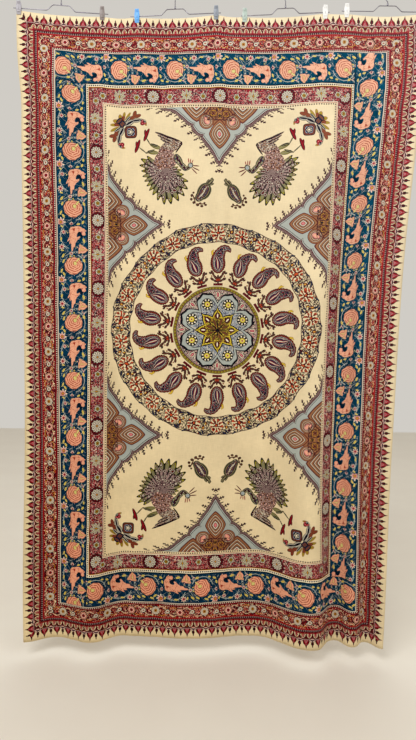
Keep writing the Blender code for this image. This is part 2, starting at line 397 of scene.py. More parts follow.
def both(t, first, second):
    return put(t, "Math.MULTIPLY", first, second)


def within(t, value, middle, half):
    """1 where a value is no further than half from the middle."""
    return put(t, "Math.COMPARE", value, float(middle), half)


def scrolls(t, below, vec, marks, where, inks):
    """Fill a shape with small loose marks: (kind, size, amount, seed, ink) each."""
    for kind, size, amount, seed, ink in marks:
        moved = put(t, "Mapping", vec, (seed * 31.0, seed * 17.0, 0))
        if kind == "curl":
            cloud = put(t, "TexNoise", moved, 1.0 / size, 1.0, 0.4)
            mark = within(t, cloud, 0.5, amount)
        else:
            mark = less(t, put(t, "TexVoronoi", moved, 1.0 / size), amount)
        below = cover(t, below, both(t, mark, where), ink, inks)
    return below


def beads(t, below, along, away, place, pitch, half, ink, inks):
    """A row of small dark squares along a guard line."""
    step = put(t, "Math.WRAP", along, pitch / 2, -pitch / 2)
    return cover(t, below, both(t, within(t, step, 0, half), within(t, away, place, half)), ink, inks)


def thin_line(t, below, away, place, half, ink, inks):
    return cover(t, below, within(t, away, place, half), ink, inks)


def repeat_at(t, along, up, start, pitch):
    """Coordinates of a motif that comes again every pitch along the border."""
    turn = put(t, "Math.WRAP", put(t, "Math.SUBTRACT", along, start), pitch / 2, -pitch / 2)
    return put(t, "CombineXYZ", turn, up, 0.0)


# The print: coordinates first, then the borders from outside in, then the field
def ground(t):
    """Coordinates that every part of the print starts from."""
    vec = put(t, "VectorMath.SCALE", put(t, "UVMap", uv_map="Print"))
    vec.node.inputs[3].default_value = 1000.0
    # the printer's hand: blocks sit up to 1.5 mm out of true
    shake = put(t, "TexNoise", vec, 0.016, 1.0, 0.5).node.outputs[1]
    shake = put(t, "VectorMath.SCALE", put(t, "VectorMath.SUBTRACT", shake, (0.5, 0.5, 0.5)))
    shake.node.inputs[3].default_value = 7.0
    vec = put(t, "VectorMath.MULTIPLY", put(t, "VectorMath.ADD", vec, shake), (1, 1, 0))
    x, y = split(t, vec)
    wide, tall = put(t, "Math.ABSOLUTE", x), put(t, "Math.ABSOLUTE", y)
    side = put(t, "Math.SUBTRACT", wide, float(FIELD_WIDE))
    # the blue band of the two sides was set a little nearer the middle
    nudge = put(t, "Math.SUBTRACT", put(t, "MapRange", side, 55.0, 78.0, 0.0, SIDE_NUDGE),
                put(t, "MapRange", side, 191.5, 215.0, 0.0, SIDE_NUDGE))
    side = put(t, "Math.ADD", side, nudge)
    end = put(t, "Math.DIVIDE", put(t, "Math.SUBTRACT", tall, float(FIELD_TALL)), END_STRETCH)
    return {"vec": vec, "x": x, "y": y, "wide": wide, "tall": tall, "side": side, "end": end,
            "away": put(t, "Math.MAXIMUM", side, end)}


def along_border(t, at, upright, starts, pitch, upright_pitch):
    """Distance along the border from each side's first motif, in the level sides' pitch."""
    level = both(t, put(t, "Math.SIGN", at["y"]), at["x"])
    rise = put(t, "Math.MULTIPLY", both(t, put(t, "Math.SIGN", at["x"]), at["y"]), -1.0)
    top, right, bottom, left = starts
    above, rightward = (put(t, "Math.GREATER_THAN", at[k], 0.0) for k in ("y", "x"))
    start = put(t, "Mix", upright, put(t, "Mix", above, bottom, top), put(t, "Mix", rightward, left, right))
    along = put(t, "Math.SUBTRACT", put(t, "Mix", upright, level, rise), start)
    return both(t, along, put(t, "Mix", upright, 1.0, pitch / upright_pitch))


def plain_bands(t, at, inks):
    """The ground colour of each band, outwards from the field."""
    made = put(t, "ValToRGB", put(t, "Math.DIVIDE", at["away"], 400.0)).node
    ramp = made.color_ramp
    ramp.interpolation = "CONSTANT"
    while len(ramp.elements) < len(BANDS):
        ramp.elements.new(0.5)
    low = 0.0
    for element, (_, edge, ink) in zip(ramp.elements, BANDS):
        element.position = low / 400.0
        element.color = inks[ink]
        low = edge
    return made.outputs[0]


LEAF_PITCH = 48.7
LEAF_STARTS = (11.5, 20.0, 10.0, 44.4)
RED_REPEAT = 193.0
RED_STARTS = (85.5, 123.0, 40.0, 109.5)


def outer_bands(t, at, inks):
    """Leaf row, scallops, bead guard, red rosette band and dark guard."""
    upright = put(t, "Math.GREATER_THAN", at["side"], at["end"])
    away = at["away"]
    colour = plain_bands(t, at, inks)
    along = along_border(t, at, upright, LEAF_STARTS, LEAF_PITCH, 47.9)
    # leaf row: crimson leaves with dark buds between them
    up = put(t, "Math.SUBTRACT", away, 296.0)
    leaf = repeat_at(t, along, up, 0.0, LEAF_PITCH)
    bud = repeat_at(t, along, up, LEAF_PITCH / 2, LEAF_PITCH)
    outside = put(t, "Math.GREATER_THAN", up, -1.0)
    colour = dye(t, colour, nearest(t, bud, [(0, 3, 11.5, 8, 0)]),
                 [(0, "plum"), (0.25, "mauve"), (0.5, "white"), (0.7, "pink"), (0.85, "maroon"), (1.0, None)], inks)
    step = put(t, "Math.ABSOLUTE", split(t, leaf)[0])
    half = put(t, "Math.MULTIPLY", curve(t, put(t, "Math.DIVIDE", up, 36.0), [
        (0, 0.56), (0.08, 0.8), (0.2, 0.86), (0.32, 0.8), (0.44, 0.64), (0.54, 0.42), (0.64, 0.24),
        (0.8, 0.12), (0.92, 0.06), (1, 0)]), 15.5)
    near = put(t, "Mix", outside, 2.0, put(t, "Math.DIVIDE", step, put(t, "Math.MAXIMUM", half, 0.01)))
    colour = dye(t, colour, near, [(0, "crimson"), (0.6, "maroon"), (0.86, "plum"), (1.0, None)], inks)
    colour = dye(t, colour, nearest(t, leaf, [(0, 8, 5.5, 5.5, 0), (5, 4, 3.4, 3, 0), (-5, 4, 3.4, 3, 0), (0, 17, 2.2, 5, 0)]),
                 [(0, "plum"), (0.35, "pink"), (0.7, "crimson"), (0.95, None)], inks)
    colour = dye(t, colour, nearest(t, leaf, [(0, 27, 2.0, 5.0, 0)]), [(0, "plum"), (0.95, None)], inks)
    colour = dye(t, colour, nearest(t, bud, [(0, 15, 6.0, 7.4, 0), (0, 23, 2.4, 7.0, 0), (0, 8, 1.8, 6, 0)]),
                 [(0, "maroon"), (0.35, "black"), (0.97, None)], inks)
    # scallops, two to a leaf
    low = put(t, "Math.SUBTRACT", away, 271.0)
    arch = repeat_at(t, along, low, LEAF_PITCH / 4, LEAF_PITCH / 2)
    scallop = nearest(t, arch, [(0, 1, 12.0, 20.0, 0)])
    scallop = put(t, "Math.ADD", scallop, less(t, low, 0.0))
    colour = dye(t, colour, scallop, [(0, "crimson"), (0.26, "blush"), (0.4, "black"), (0.52, "crimson"),
                                      (0.64, "cream"), (0.86, "black"), (0.98, None)], inks)
    strip = put(t, "CombineXYZ", along, away, 0.0)
    zone = within(t, away, 284.0, 12.5)
    colour = scrolls(t, colour, strip, (("dot", 10, 0.17, 3, "ochre"), ("dot", 9, 0.17, 5, "black"),
                                        ("dot", 10, 0.13, 8, "blush")), zone, inks)
    colour = thin_line(t, colour, away, 296.2, 1.3, "mauve", inks)
    colour = thin_line(t, colour, away, 273.2, 2.0, "crimson", inks)
    # bead guard
    colour = beads(t, colour, along, away, 264.0, 8.0, 2.5, "black", inks)
    colour = thin_line(t, colour, away, 258.6, 2.4, "red", inks)
    colour = thin_line(t, colour, away, 268.8, 2.2, "maroon", inks)
    # red band: rosettes and buds in turn, gold scrolls crossing between them
    along = along_border(t, at, upright, RED_STARTS, RED_REPEAT, 191.0)
    up = put(t, "Math.SUBTRACT", away, 233.25)
    zone = within(t, away, 233.25, 22.5)
    strip = put(t, "CombineXYZ", along, up, 0.0)
    colour = scrolls(t, colour, strip, (("curl", 9, 0.028, 5, "blush"), ("curl", 12, 0.018, 4, "cream"),
                                        ("curl", 10, 0.06, 2, "maroon"), ("dot", 9, 0.2, 9, "orange"),
                                        ("dot", 8, 0.27, 8, "plum"), ("dot", 10, 0.15, 3, "ochre")), zone, inks)
    wave = put(t, "Math.SINE", put(t, "Math.MULTIPLY", along, 4 * math.pi / RED_REPEAT))
    for ink, reach, half in (("cream", 17.0, 0.9), ("ochre", -17.0, 1.1), ("plum", 9.0, 1.0)):
        path = put(t, "Math.SUBTRACT", up, put(t, "Math.MULTIPLY", wave, reach))
        colour = cover(t, colour, both(t, within(t, path, 0, half), zone), ink, inks)
    for start, size, count, stops in (
            (0.0, 16.5, 12, [(0, "maroon"), (0.18, "ochre"), (0.34, "plum"), (0.42, "stone"), (0.62, "tan"), (0.68, "stone"),
                             (0.88, "plum"), (1.0, None)]),
            (RED_REPEAT / 2, 17.5, 6, [(0, "crimson"), (0.22, "plum"), (0.36, "blush"), (0.6, "plum"), (0.7, "salmon"),
                                       (0.82, "black"), (1.0, None)])):
        rose = motif_at(t, repeat_at(t, along, up, start, RED_REPEAT), 0, 0, size)
        colour = dye(t, colour, petalled(t, rose, count, 0.08), stops, inks)
    pea = repeat_at(t, along, up, RED_REPEAT / 4, RED_REPEAT / 2)
    colour = dye(t, colour, nearest(t, pea, [(0, 0, 10.5, 10, 0), (8, 5, 6, 5, 0)]),
                 [(0, "rust"), (0.24, "plum"), (0.34, "stone"), (0.8, "plum"), (1.0, None)], inks)
    # dark guard
    colour = beads(t, colour, along, away, 204.5, 8.0, 1.9, "stone", inks)
    colour = beads(t, colour, put(t, "Math.ADD", along, 4.0), away, 204.5, 8.0, 2.0, "black", inks)
    colour = thin_line(t, colour, away, 210.5, 1.3, "maroon", inks)
    return thin_line(t, colour, away, 199.6, 1.5, "stone", inks)


REPEAT = 214.0
ROSE_STARTS = (42.0, -60.6, 50.0, 28.4)
BAND_BIRD = (
    # the salmon bird that lies along the blue band: along, up, half long, half wide, turn
    (110, 0, 30, 14.5, -4), (130, -2, 18, 17, 0), (138, -17, 12.5, 20, 8), (131, -37, 12.5, 10, -25),
    (122, -41, 7, 7.5, 0)) + tuple(brush(
        (54, 4, 106, 0, 4.8), (86, -6, 110, -17, 4.6), (96, -12, 112, -27, 3.6), (82, 13, 106, 7, 3.4),
        (92, 21, 112, 9, 3.2), (70, -4, 100, -6, 4.2)))
BAND_LEAVES = brush(
    (-36, 30, -23, 38, 3.6), (-24, 45, -10, 40, 3.2), (10, 40, 24, 34, 3.4), (30, 43, 44, 34, 3.8),
    (56, 34, 60, 46, 3.0), (94, 45, 108, 43, 3.2), (88, -44, 104, -39, 4.0), (14, -45, 28, -40, 4.0),
    (-55, -36, -43, -42, 3.8), (-59, -16, -54, -29, 3.2), (164, -30, 172, -18, 3.4), (-34, -43, -22, -45, 3.0),
    (150, 45, 143, 36, 3.0), (30, 14, 38, 10, 2.6), (31, -6, 40, -2, 2.4), (159, 8, 163, 18, 2.4))
BAND_STALKS = brush(
    (33, 34, 46, 14, 0.9), (46, 14, 52, -8, 0.9), (30, -28, 52, -40, 0.8), (-44, -34, -30, -22, 0.8),
    (150, 38, 166, 24, 0.8), (80, -40, 96, -46, 0.8), (148, -46, 162, -34, 0.8), (-48, 20, -40, 4, 0.8),
    (60, 20, 76, 34, 0.8), (104, 50, 122, 42, 0.8))
BAND_VINES = (
    # along, up, radius, half thick, middle, half sweep
    (0, -2, 44.0, 1.1, -95, 72), (114, -8, 54.0, 1.1, 82, 72), (60, -34, 26.0, 0.9, 200, 60))


def blue_band(t, at, inks):
    """Roses and birds on indigo, each strip running into its corner."""
    corner = put(t, "Math.GREATER_THAN", put(t, "Math.MINIMUM", at["side"], at["end"]), 84.5)
    same = put(t, "Math.GREATER_THAN", both(t, at["x"], at["y"]), 0.0)
    wider = put(t, "Math.GREATER_THAN", at["side"], at["end"])
    upright = put(t, "Mix", corner, wider, same)
    along = along_border(t, at, upright, ROSE_STARTS, REPEAT, 217.5)
    up = put(t, "Math.SUBTRACT", put(t, "Mix", upright, at["end"], at["side"]), 141.25)
    spot = put(t, "CombineXYZ", put(t, "Math.WRAP", along, REPEAT - 60.0, -60.0), up, 0.0)
    worn = put(t, "TexNoise", at["vec"], 0.02, 3.0, 0.6)
    colour = put(t, "Mix", put(t, "MapRange", worn, 0.35, 0.75, 0.0, 0.8), inks["blue"], inks["navy"],
                 data_type="RGBA")
    for x, y, far, thin, middle, sweep in BAND_VINES:
        local = motif_at(t, spot, x, y, 1, 1, middle)
        a, b = split(t, local)
        ring = within(t, put(t, "VectorMath.LENGTH", local), far, thin)
        bend = within(t, put(t, "Math.ARCTAN2", b, a), 0, math.radians(sweep))
        colour = cover(t, colour, both(t, ring, bend), "sky_grey", inks)
    zone = within(t, up, 0, 51.0)
    colour = scrolls(t, colour, spot, (("curl", 19, 0.007, 2, "sky_grey"), ("dot", 15, 0.13, 9, "blush"),
                                       ("dot", 12, 0.12, 4, "pale_leaf")), zone, inks)
    colour = dye(t, colour, nearest(t, spot, BAND_STALKS), [(0, "sky_grey"), (1.0, None)], inks)
    colour = dye(t, colour, nearest(t, spot, BAND_LEAVES),
                 [(0, "ochre"), (0.2, "yellow"), (0.55, "pale_leaf"), (0.95, None)], inks)
    # small flowers with eight petals
    for x, y, size, inner in ((-52, 44, 13.5, "ochre"), (72, 42, 9, "crimson"), (127, 35, 6.5, "crimson"),
                              (-57, 5, 6, "plum"), (46, 8, 6, "plum")):
        local = motif_at(t, spot, x, y, size)
        colour = dye(t, colour, petalled(t, local, 8, 0.32),
                     [(0, inner), (0.3, "maroon"), (0.42, "pink"), (0.7, "white"), (0.92, None)], inks)
    # rose with torn rings round a pale bud
    local = motif_at(t, spot, 0, -2, 34, 36.5)
    near = put(t, "Math.ADD", petalled(t, local, 9, 0.025), put(t, "Math.MULTIPLY", swing(t, local, 5), 0.012))
    colour = dye(t, colour, near, [(0, "salmon"), (0.93, "navy"), (1.0, None)], inks)
    heart = motif_at(t, spot, 8, -8, 34, 36.5)
    h1, h2 = split(t, heart)
    spin = put(t, "Math.ARCTAN2", h2, h1)
    turns = put(t, "Math.MULTIPLY_ADD", put(t, "VectorMath.LENGTH", heart), 4.4, put(t, "Math.MULTIPLY", spin, 1 / math.tau))
    turns = put(t, "Math.MULTIPLY_ADD", swing(t, heart, 7), 0.10, turns)
    line = less(t, put(t, "Math.FRACT", turns), 0.4)
    torn = put(t, "Math.GREATER_THAN", put(t, "TexNoise", spot, 0.11, 1.0, 0.5), 0.4)
    colour = tint(t, colour, both(t, both(t, line, torn), less(t, near, 0.9)), 0.9, "rust", inks)
    colour = dye(t, colour, nearest(t, spot, [(9, -8, 8.5, 7.5, 20)] + brush((14, -13, 30, -25, 3.4))),
                 [(0, "pale_leaf"), (0.4, "olive"), (0.55, "pale_leaf"), (0.85, "rust"), (1.0, None)], inks)
    # bird with its head curled under
    bird = nearest(t, spot, BAND_BIRD)
    colour = dye(t, colour, bird, [(0, "salmon"), (0.96, "navy"), (1.0, None)], inks)
    colour = dye(t, colour, nearest(t, spot, [(121, -26, 9.5, 9, 0), (112, -33, 6.5, 6, 0)]), [(0, "navy"), (0.97, None)], inks)
    colour = dye(t, colour, nearest(t, spot, [(128, -34, 4, 2.8, 0)]), [(0, "black"), (0.5, "pink"), (1.0, None)], inks)
    colour = scrolls(t, colour, spot, (("dot", 11, 0.12, 4, "rust"), ("curl", 16, 0.012, 6, "rust")),
                     less(t, bird, 0.85), inks)
    # rosebud under the tail
    bud = nearest(t, spot, [(62, -36, 15, 16, 0)] + brush((46, -22, 66, -32, 6), (82, -26, 62, -36, 6), (62, -56, 63, -34, 6)))
    colour = dye(t, colour, bud, [(0, "pale_leaf"), (0.14, "rust"), (0.26, "salmon"), (0.44, "rust"), (0.54, "salmon"), (0.93, "navy"), (1.0, None)], inks)
    return cover(t, colour, put(t, "Math.GREATER_THAN", put(t, "Math.ABSOLUTE", up), 54.9), "black", inks)


ROUND_REPEAT = 256.0
ROUND_STARTS = (0.0, 148.0, 0.0, 161.0)


def inner_bands(t, at, inks):
    """Pale guard, inner red band and the field's own guard."""
    upright = put(t, "Math.GREATER_THAN", at["side"], at["end"])
    along = along_border(t, at, upright, ROUND_STARTS, ROUND_REPEAT, 261.0)
    away = at["away"]
    colour = plain_bands(t, at, inks)
    up = put(t, "Math.SUBTRACT", away, 41.0)
    strip = put(t, "CombineXYZ", along, up, 0.0)
    zone = within(t, up, 0, 26.5)
    colour = scrolls(t, colour, strip, (("curl", 9, 0.05, 1, "plum"), ("curl", 8, 0.022, 6, "pink"),
                                        ("curl", 12, 0.016, 4, "stone"), ("dot", 10, 0.12, 2, "salmon"),
                                        ("dot", 8, 0.32, 8, "plum"), ("dot", 13, 0.13, 5, "ochre")), zone, inks)
    # round flower
    spot = repeat_at(t, along, up, 0.0, ROUND_REPEAT)
    local = motif_at(t, spot, 0, 0, 22.5)
    colour = dye(t, colour, put(t, "VectorMath.LENGTH", motif_at(t, spot, 0, 0, 31, 28)),
                 [(0, "maroon"), (0.93, "black"), (1.0, None)], inks)
    colour = dye(t, colour, petalled(t, local, 12, 0.10),
                 [(0, "ochre"), (0.14, "plum"), (0.22, "stone"), (0.9, "plum"), (1.0, None)], inks)
    ring = put(t, "VectorMath.LENGTH", local)
    rays = put(t, "Math.GREATER_THAN", swing(t, local, 12), 0.45)
    colour = tint(t, colour, both(t, rays, within(t, ring, 0.55, 0.28)), 0.85, "plum", inks)
    # palmette
    spot = repeat_at(t, along, up, ROUND_REPEAT / 2, ROUND_REPEAT)
    palm = nearest(t, spot, [(0, 1, 13, 15, 0)] + brush(
        (0, 0, 0, 27, 5), (-4, 0, -17, 20, 5), (4, 0, 17, 20, 5), (-2, -2, -22, 6, 5), (2, -2, 22, 6, 5),
        (-2, -4, -19, -12, 4.5), (2, -4, 19, -12, 4.5), (0, 0, 0, -25, 5.5)))
    colour = dye(t, colour, palm, [(0, "olive"), (0.22, "stone"), (0.5, "plum"), (0.6, "stone"), (0.88, "plum"), (1.0, None)], inks)
    colour = dye(t, colour, nearest(t, spot, [(0, 2, 4.5, 6.5, 0)]), [(0, "ochre"), (0.5, "plum"), (0.95, None)], inks)
    # small rosettes between
    local = motif_at(t, repeat_at(t, along, up, ROUND_REPEAT / 4, ROUND_REPEAT / 2), 0, -2, 12.5)
    colour = dye(t, colour, petalled(t, local, 6, 0.14),
                 [(0, "crimson"), (0.22, "olive"), (0.5, "plum"), (0.6, "stone"), (0.84, "plum"), (1.0, None)], inks)
    # guards
    colour = thin_line(t, colour, away, 68.5, 1.8, "maroon", inks)
    colour = thin_line(t, colour, away, 71.5, 1.2, "ochre", inks)
    colour = beads(t, colour, along, away, 77.3, 8.2, 2.6, "black", inks)
    colour = thin_line(t, colour, away, 84.0, 1.6, "navy", inks)
    colour = thin_line(t, colour, away, 13.0, 1.0, "white", inks)
    colour = thin_line(t, colour, away, 10.6, 0.9, "crimson", inks)
    return beads(t, colour, along, away, 4.6, 9.0, 2.4, "plum", inks)


# The field
NEST = ((0, "pink"), (0.13, "crimson"), (0.18, "stone"), (0.28, "plum"), (0.34, "tan"), (0.46, "stone"), (0.51, "plum"),
        (0.56, "tan"), (0.68, "stone"), (0.73, "plum"), (0.78, "tan"), (0.92, "maroon"), (1.0, None))


def pendant(t, at, colour, inks):
    """The six ogee pendants on the field's edges, drawn once for all."""
    w_side = put(t, "Math.SUBTRACT", put(t, "Math.ABSOLUTE", put(t, "Math.SUBTRACT", at["y"], 6.0)), 408.0)
    w_side = put(t, "Math.ABSOLUTE", w_side)
    d_side = put(t, "Math.MULTIPLY", at["side"], -1.0)
    d_end = put(t, "Math.SUBTRACT", float(FIELD_TALL), at["tall"])
    use = less(t, put(t, "Math.ADD", w_side, d_side), put(t, "Math.ADD", at["wide"], d_end))
    w = put(t, "Mix", use, at["wide"], w_side)
    d = put(t, "Mix", use, d_end, d_side)
    place = put(t, "CombineXYZ", w, d, 0.0)
    run = put(t, "Math.MULTIPLY", put(t, "Math.ADD", put(t, "Math.SUBTRACT", d, w), 200.0), 0.7071)
    swell = curve(t, put(t, "Math.DIVIDE", run, 282.8), [
        (0, 0.5), (0.10, 0.30), (0.22, 0.26), (0.34, 0.22), (0.40, 0.14), (0.415, 0.09), (0.43, 0.2), (0.52, 0.24),
        (0.59, 0.16), (0.605, 0.11), (0.62, 0.22), (0.75, 0.30), (0.87, 0.37), (1, 0.5)])
    out = put(t, "Math.SUBTRACT", put(t, "Math.ADD", w, d), put(t, "Math.MULTIPLY_ADD", swell, 100.0, 150.0))
    out = put(t, "Math.MULTIPLY", out, 0.7071)
    # fringe of small trees with shorter ones between
    rooted = put(t, "Math.MULTIPLY_ADD", out, 0.4, run)
    tree = put(t, "Math.ABSOLUTE", put(t, "Math.WRAP", rooted, 17.7, -17.7))
    trunk = both(t, less(t, tree, 2.0), less(t, out, 39.0))
    rung = put(t, "Math.WRAP", put(t, "Math.MULTIPLY_ADD", tree, -0.7, out), 5.2, -5.2)
    twig = both(t, within(t, rung, 0, 2.2), less(t, put(t, "Math.MULTIPLY_ADD", out, 0.22, tree), 12.5))
    twig = both(t, twig, less(t, out, 37.0))
    shrub = put(t, "Math.SUBTRACT", 17.7, tree)
    small = both(t, less(t, shrub, 1.8), less(t, out, 24.0))
    dots = both(t, less(t, put(t, "TexVoronoi", place, 0.17), 0.42), less(t, put(t, "Math.MULTIPLY_ADD", shrub, 0.9, out), 17.0))
    fringe = put(t, "Math.MAXIMUM", put(t, "Math.MAXIMUM", trunk, twig), put(t, "Math.MAXIMUM", small, dots))
    fringe = both(t, fringe, both(t, put(t, "Math.GREATER_THAN", out, 0.0), put(t, "Math.GREATER_THAN", d, 2.0)))
    colour = cover(t, colour, fringe, "fig", inks)
    colour = dye(t, colour, put(t, "Math.DIVIDE", put(t, "Math.ADD", out, 220.0), 240.0), [
        (0, "sky_grey"), (0.900, "plum"), (0.908, "sky_grey"), (0.925, "maroon"), (0.935, "mauve"), (0.948, "plum"),
        (0.955, "mauve"), (0.962, "fig"), (0.970, None)], inks)
    colour = beads(t, colour, run, out, 5.5, 6.0, 1.7, "fig", inks)
    # the nested shapes inside
    colour = dye(t, colour, nearest(t, place, [(0, 8, 62, 66, 0)]), [(0, "tan"), (1.0, None)], inks)
    for x, y, wide, tall, power in ((88, -5, 61, 62, 1.2), (51, 54, 29, 29, 2.0), (0, 102, 41, 56, 1.3)):
        a, b = split(t, put(t, "VectorMath.ABSOLUTE", motif_at(t, place, x, y, wide, tall)))
        near = put(t, "Math.ADD", put(t, "Math.POWER", a, power), put(t, "Math.POWER", b, power))
        colour = dye(t, colour, put(t, "Math.POWER", near, 1.0 / power), NEST, inks)
    colour = dye(t, colour, nearest(t, place, [(50, 52, 10, 15, 30)]), [(0, "salmon"), (0.6, "pink"), (0.95, None)], inks)
    bloom = petalled(t, motif_at(t, place, 24, 24, 21, 19), 6, 0.12)
    colour = dye(t, colour, bloom, [(0, "maroon"), (0.2, "tan"), (0.36, "brown"), (0.48, "ochre"), (0.62, "plum"),
                                    (0.7, "tan"), (0.94, None)], inks)
    colour = dye(t, colour, nearest(t, place, [(0, 4, 8, 9, 0), (0, 34, 6, 10, 0)]), [(0, "navy"), (0.6, "ochre"), (1.0, None)], inks)
    return scrolls(t, colour, place, (("curl", 9, 0.05, 2, "plum"), ("dot", 9, 0.13, 4, "ochre")),
                   both(t, less(t, w, 62.0), less(t, d, 52.0)), inks)


def medallion(t, vec, colour, inks):
    """Round medallion: dotted ring, eight-lobed ground, rosettes and yellow flower."""
    far = put(t, "VectorMath.LENGTH", vec)
    colour = dye(t, colour, put(t, "Math.DIVIDE", far, 200.0),
                 [(0, "mauve"), (0.765, "black"), (0.775, "olive"), (0.822, "plum"), (0.83, None)], inks)
    ring = both(t, put(t, "Math.GREATER_THAN", swing(t, vec, 84), 0.1), within(t, far, 159.4, 3.0))
    colour = cover(t, colour, ring, "brown", inks)
    colour = scrolls(t, colour, vec, (("curl", 8, 0.03, 3, "pink"), ("curl", 7, 0.05, 8, "stone"), ("curl", 8, 0.05, 5, "black"),
                                      ("dot", 8, 0.2, 6, "white")), less(t, far, 150.0), inks)
    x, y = split(t, vec)
    angle = put(t, "Math.ARCTAN2", y, x)
    lobe = put(t, "Math.WRAP", put(t, "Math.SUBTRACT", angle, math.pi / 8), math.pi / 8, -math.pi / 8)
    lobe = put(t, "Math.MULTIPLY", put(t, "Math.ABSOLUTE", lobe), 8 / math.pi)
    edge = put(t, "Math.MULTIPLY", curve(t, lobe, [(0, 0.765), (0.25, 0.725), (0.54, 0.70), (0.6, 0.685), (0.8, 0.61), (1, 0.53)]), 200.0)
    near = put(t, "Math.DIVIDE", far, edge)
    colour = dye(t, colour, near, [(0, "steel"), (0.80, "black"), (0.835, "sky_grey"), (0.94, "black"), (1.0, None)], inks)
    colour = scrolls(t, colour, vec, (("curl", 9, 0.05, 11, "slate"), ("curl", 10, 0.03, 7, "stone"),
                                      ("dot", 9, 0.19, 4, "black")), less(t, near, 0.8), inks)
    odd = round_and_round(t, vec, 8, 22.5)
    even = round_and_round(t, vec, 8, 0)
    # rosettes with a ring of dots
    rose = motif_at(t, odd, 105, 0, 24)
    away = put(t, "VectorMath.LENGTH", rose)
    colour = dye(t, colour, away, [(0, "rust"), (0.14, "pale_leaf"), (0.24, "yellow"), (0.42, "black"), (0.92, "sky_grey"), (1.0, None)], inks)
    colour = cover(t, colour, both(t, put(t, "Math.GREATER_THAN", swing(t, rose, 9), 0.25), within(t, away, 0.67, 0.13)), "white", inks)
    # small flowers in the notches
    colour = dye(t, colour, nearest(t, even, [(134, 0, 13, 10, 0)]),
                 [(0, "pink"), (0.3, "maroon"), (0.62, "white"), (0.85, "black"), (1.0, None)], inks)
    # yellow flower
    petal = put(t, "Math.MULTIPLY", put(t, "Math.ABSOLUTE", put(t, "Math.WRAP", angle, math.pi / 8, -math.pi / 8)), 8 / math.pi)
    edge = put(t, "Math.MULTIPLY", curve(t, petal, [(0, 0.93), (0.12, 0.82), (0.35, 0.75), (0.6, 0.67), (0.8, 0.61), (1, 0.56)]), 100.0)
    near = put(t, "Math.DIVIDE", far, edge)
    colour = dye(t, colour, near, [(0, "brown"), (0.3, "olive"), (0.6, "yellow"), (0.91, "black"), (1.0, None)], inks)
    colour = scrolls(t, colour, vec, (("curl", 9, 0.09, 6, "yellow"), ("curl", 8, 0.06, 13, "brown"), ("curl", 7, 0.04, 2, "black"),
                                      ("dot", 8, 0.22, 5, "rust"), ("dot", 9, 0.2, 3, "plum")), less(t, near, 0.84), inks)
    colour = dye(t, colour, nearest(t, even, [(54, 0, 12, 9.5, 0)]),
                 [(0, "white"), (0.3, "maroon"), (0.75, "black"), (1.0, None)], inks)
    colour = dye(t, colour, nearest(t, odd, brush((16, 0, 46, 0, 6))), [(0, "brown"), (0.5, "plum"), (0.75, "olive"), (0.98, None)], inks)
    return dye(t, colour, nearest(t, even, brush((0, 0, 30, 0, 2.6))), [(0, "black"), (0.95, None)], inks)


def paisleys(t, vec, colour, inks):
    """Eighteen paisleys on leafy stalks round the medallion."""
    one = round_and_round(t, vec, 18, 90)
    a, b = split(t, one)
    fold = put(t, "CombineXYZ", a, put(t, "Math.ABSOLUTE", b), 0.0)
    bar = both(t, within(t, a, 174.5, 4.6), within(t, b, 0, 18.5))
    colour = cover(t, colour, bar, "maroon", inks)
    colour = dye(t, colour, nearest(t, fold, brush(
        (176, 0, 210, 0, 5.0), (185, 2, 190, 18, 5.0), (190, 16, 198, 30, 5.0), (192, 2, 209, 18, 5.0), (206, 14, 225, 27, 5.0),
        (212, 26, 219, 34, 3.8))), [(0, "brown"), (0.25, "plum"), (0.55, "black"), (0.97, None)], inks)
    colour = dye(t, colour, nearest(t, fold, [(191, 4, 5.5, 4.5, 0), (204, 24, 3.2, 3, 0)]), [(0, "orange"), (0.5, "maroon"), (0.95, None)], inks)
    # ochre leaf on the outer side of the neck
    colour = dye(t, colour, nearest(t, one, brush((274, 18, 300, 25, 4.6), (288, 26, 304, 17, 3.4))),
                 [(0, "yellow"), (0.4, "ochre"), (0.8, "brown"), (1.0, None)], inks)
    body = nearest(t, one, [(254, 1, 40, 28.5, 2), (278, -2, 33, 23, -12), (298, -11, 20, 18, 0)])
    tip = put(t, "Math.MAXIMUM", nearest(t, one, [(304, -24, 19, 26, 0)]),
              put(t, "Math.SUBTRACT", 2.0, nearest(t, one, [(286, -35, 13, 14, 0)])))
    body = put(t, "Math.MINIMUM", body, tip)
    body = put(t, "Math.MULTIPLY_ADD", swing(t, motif_at(t, one, 260, -2, 1), 28), 0.03, body)
    colour = dye(t, colour, body, [(0, "slate"), (0.66, "stone"), (0.69, "plum"), (0.79, "rust"), (0.85, "black"),
                                   (0.93, "maroon"), (1.0, None)], inks)
    colour = scrolls(t, colour, one, (("curl", 9, 0.05, 8, "crimson"), ("curl", 8, 0.07, 2, "black"), ("curl", 8, 0.012, 5, "stone"),
                                      ("dot", 8, 0.15, 3, "stone")), less(t, body, 0.62), inks)
    seed = nearest(t, one, [(248, 2, 23, 15, 6), (268, 5, 15, 9, 20)])
    return dye(t, colour, seed, [(0, "stone"), (0.14, "crimson"), (0.36, "black"), (0.5, "slate"), (0.7, "maroon"), (0.82, "stone"), (0.93, "black"), (1.0, None)], inks)


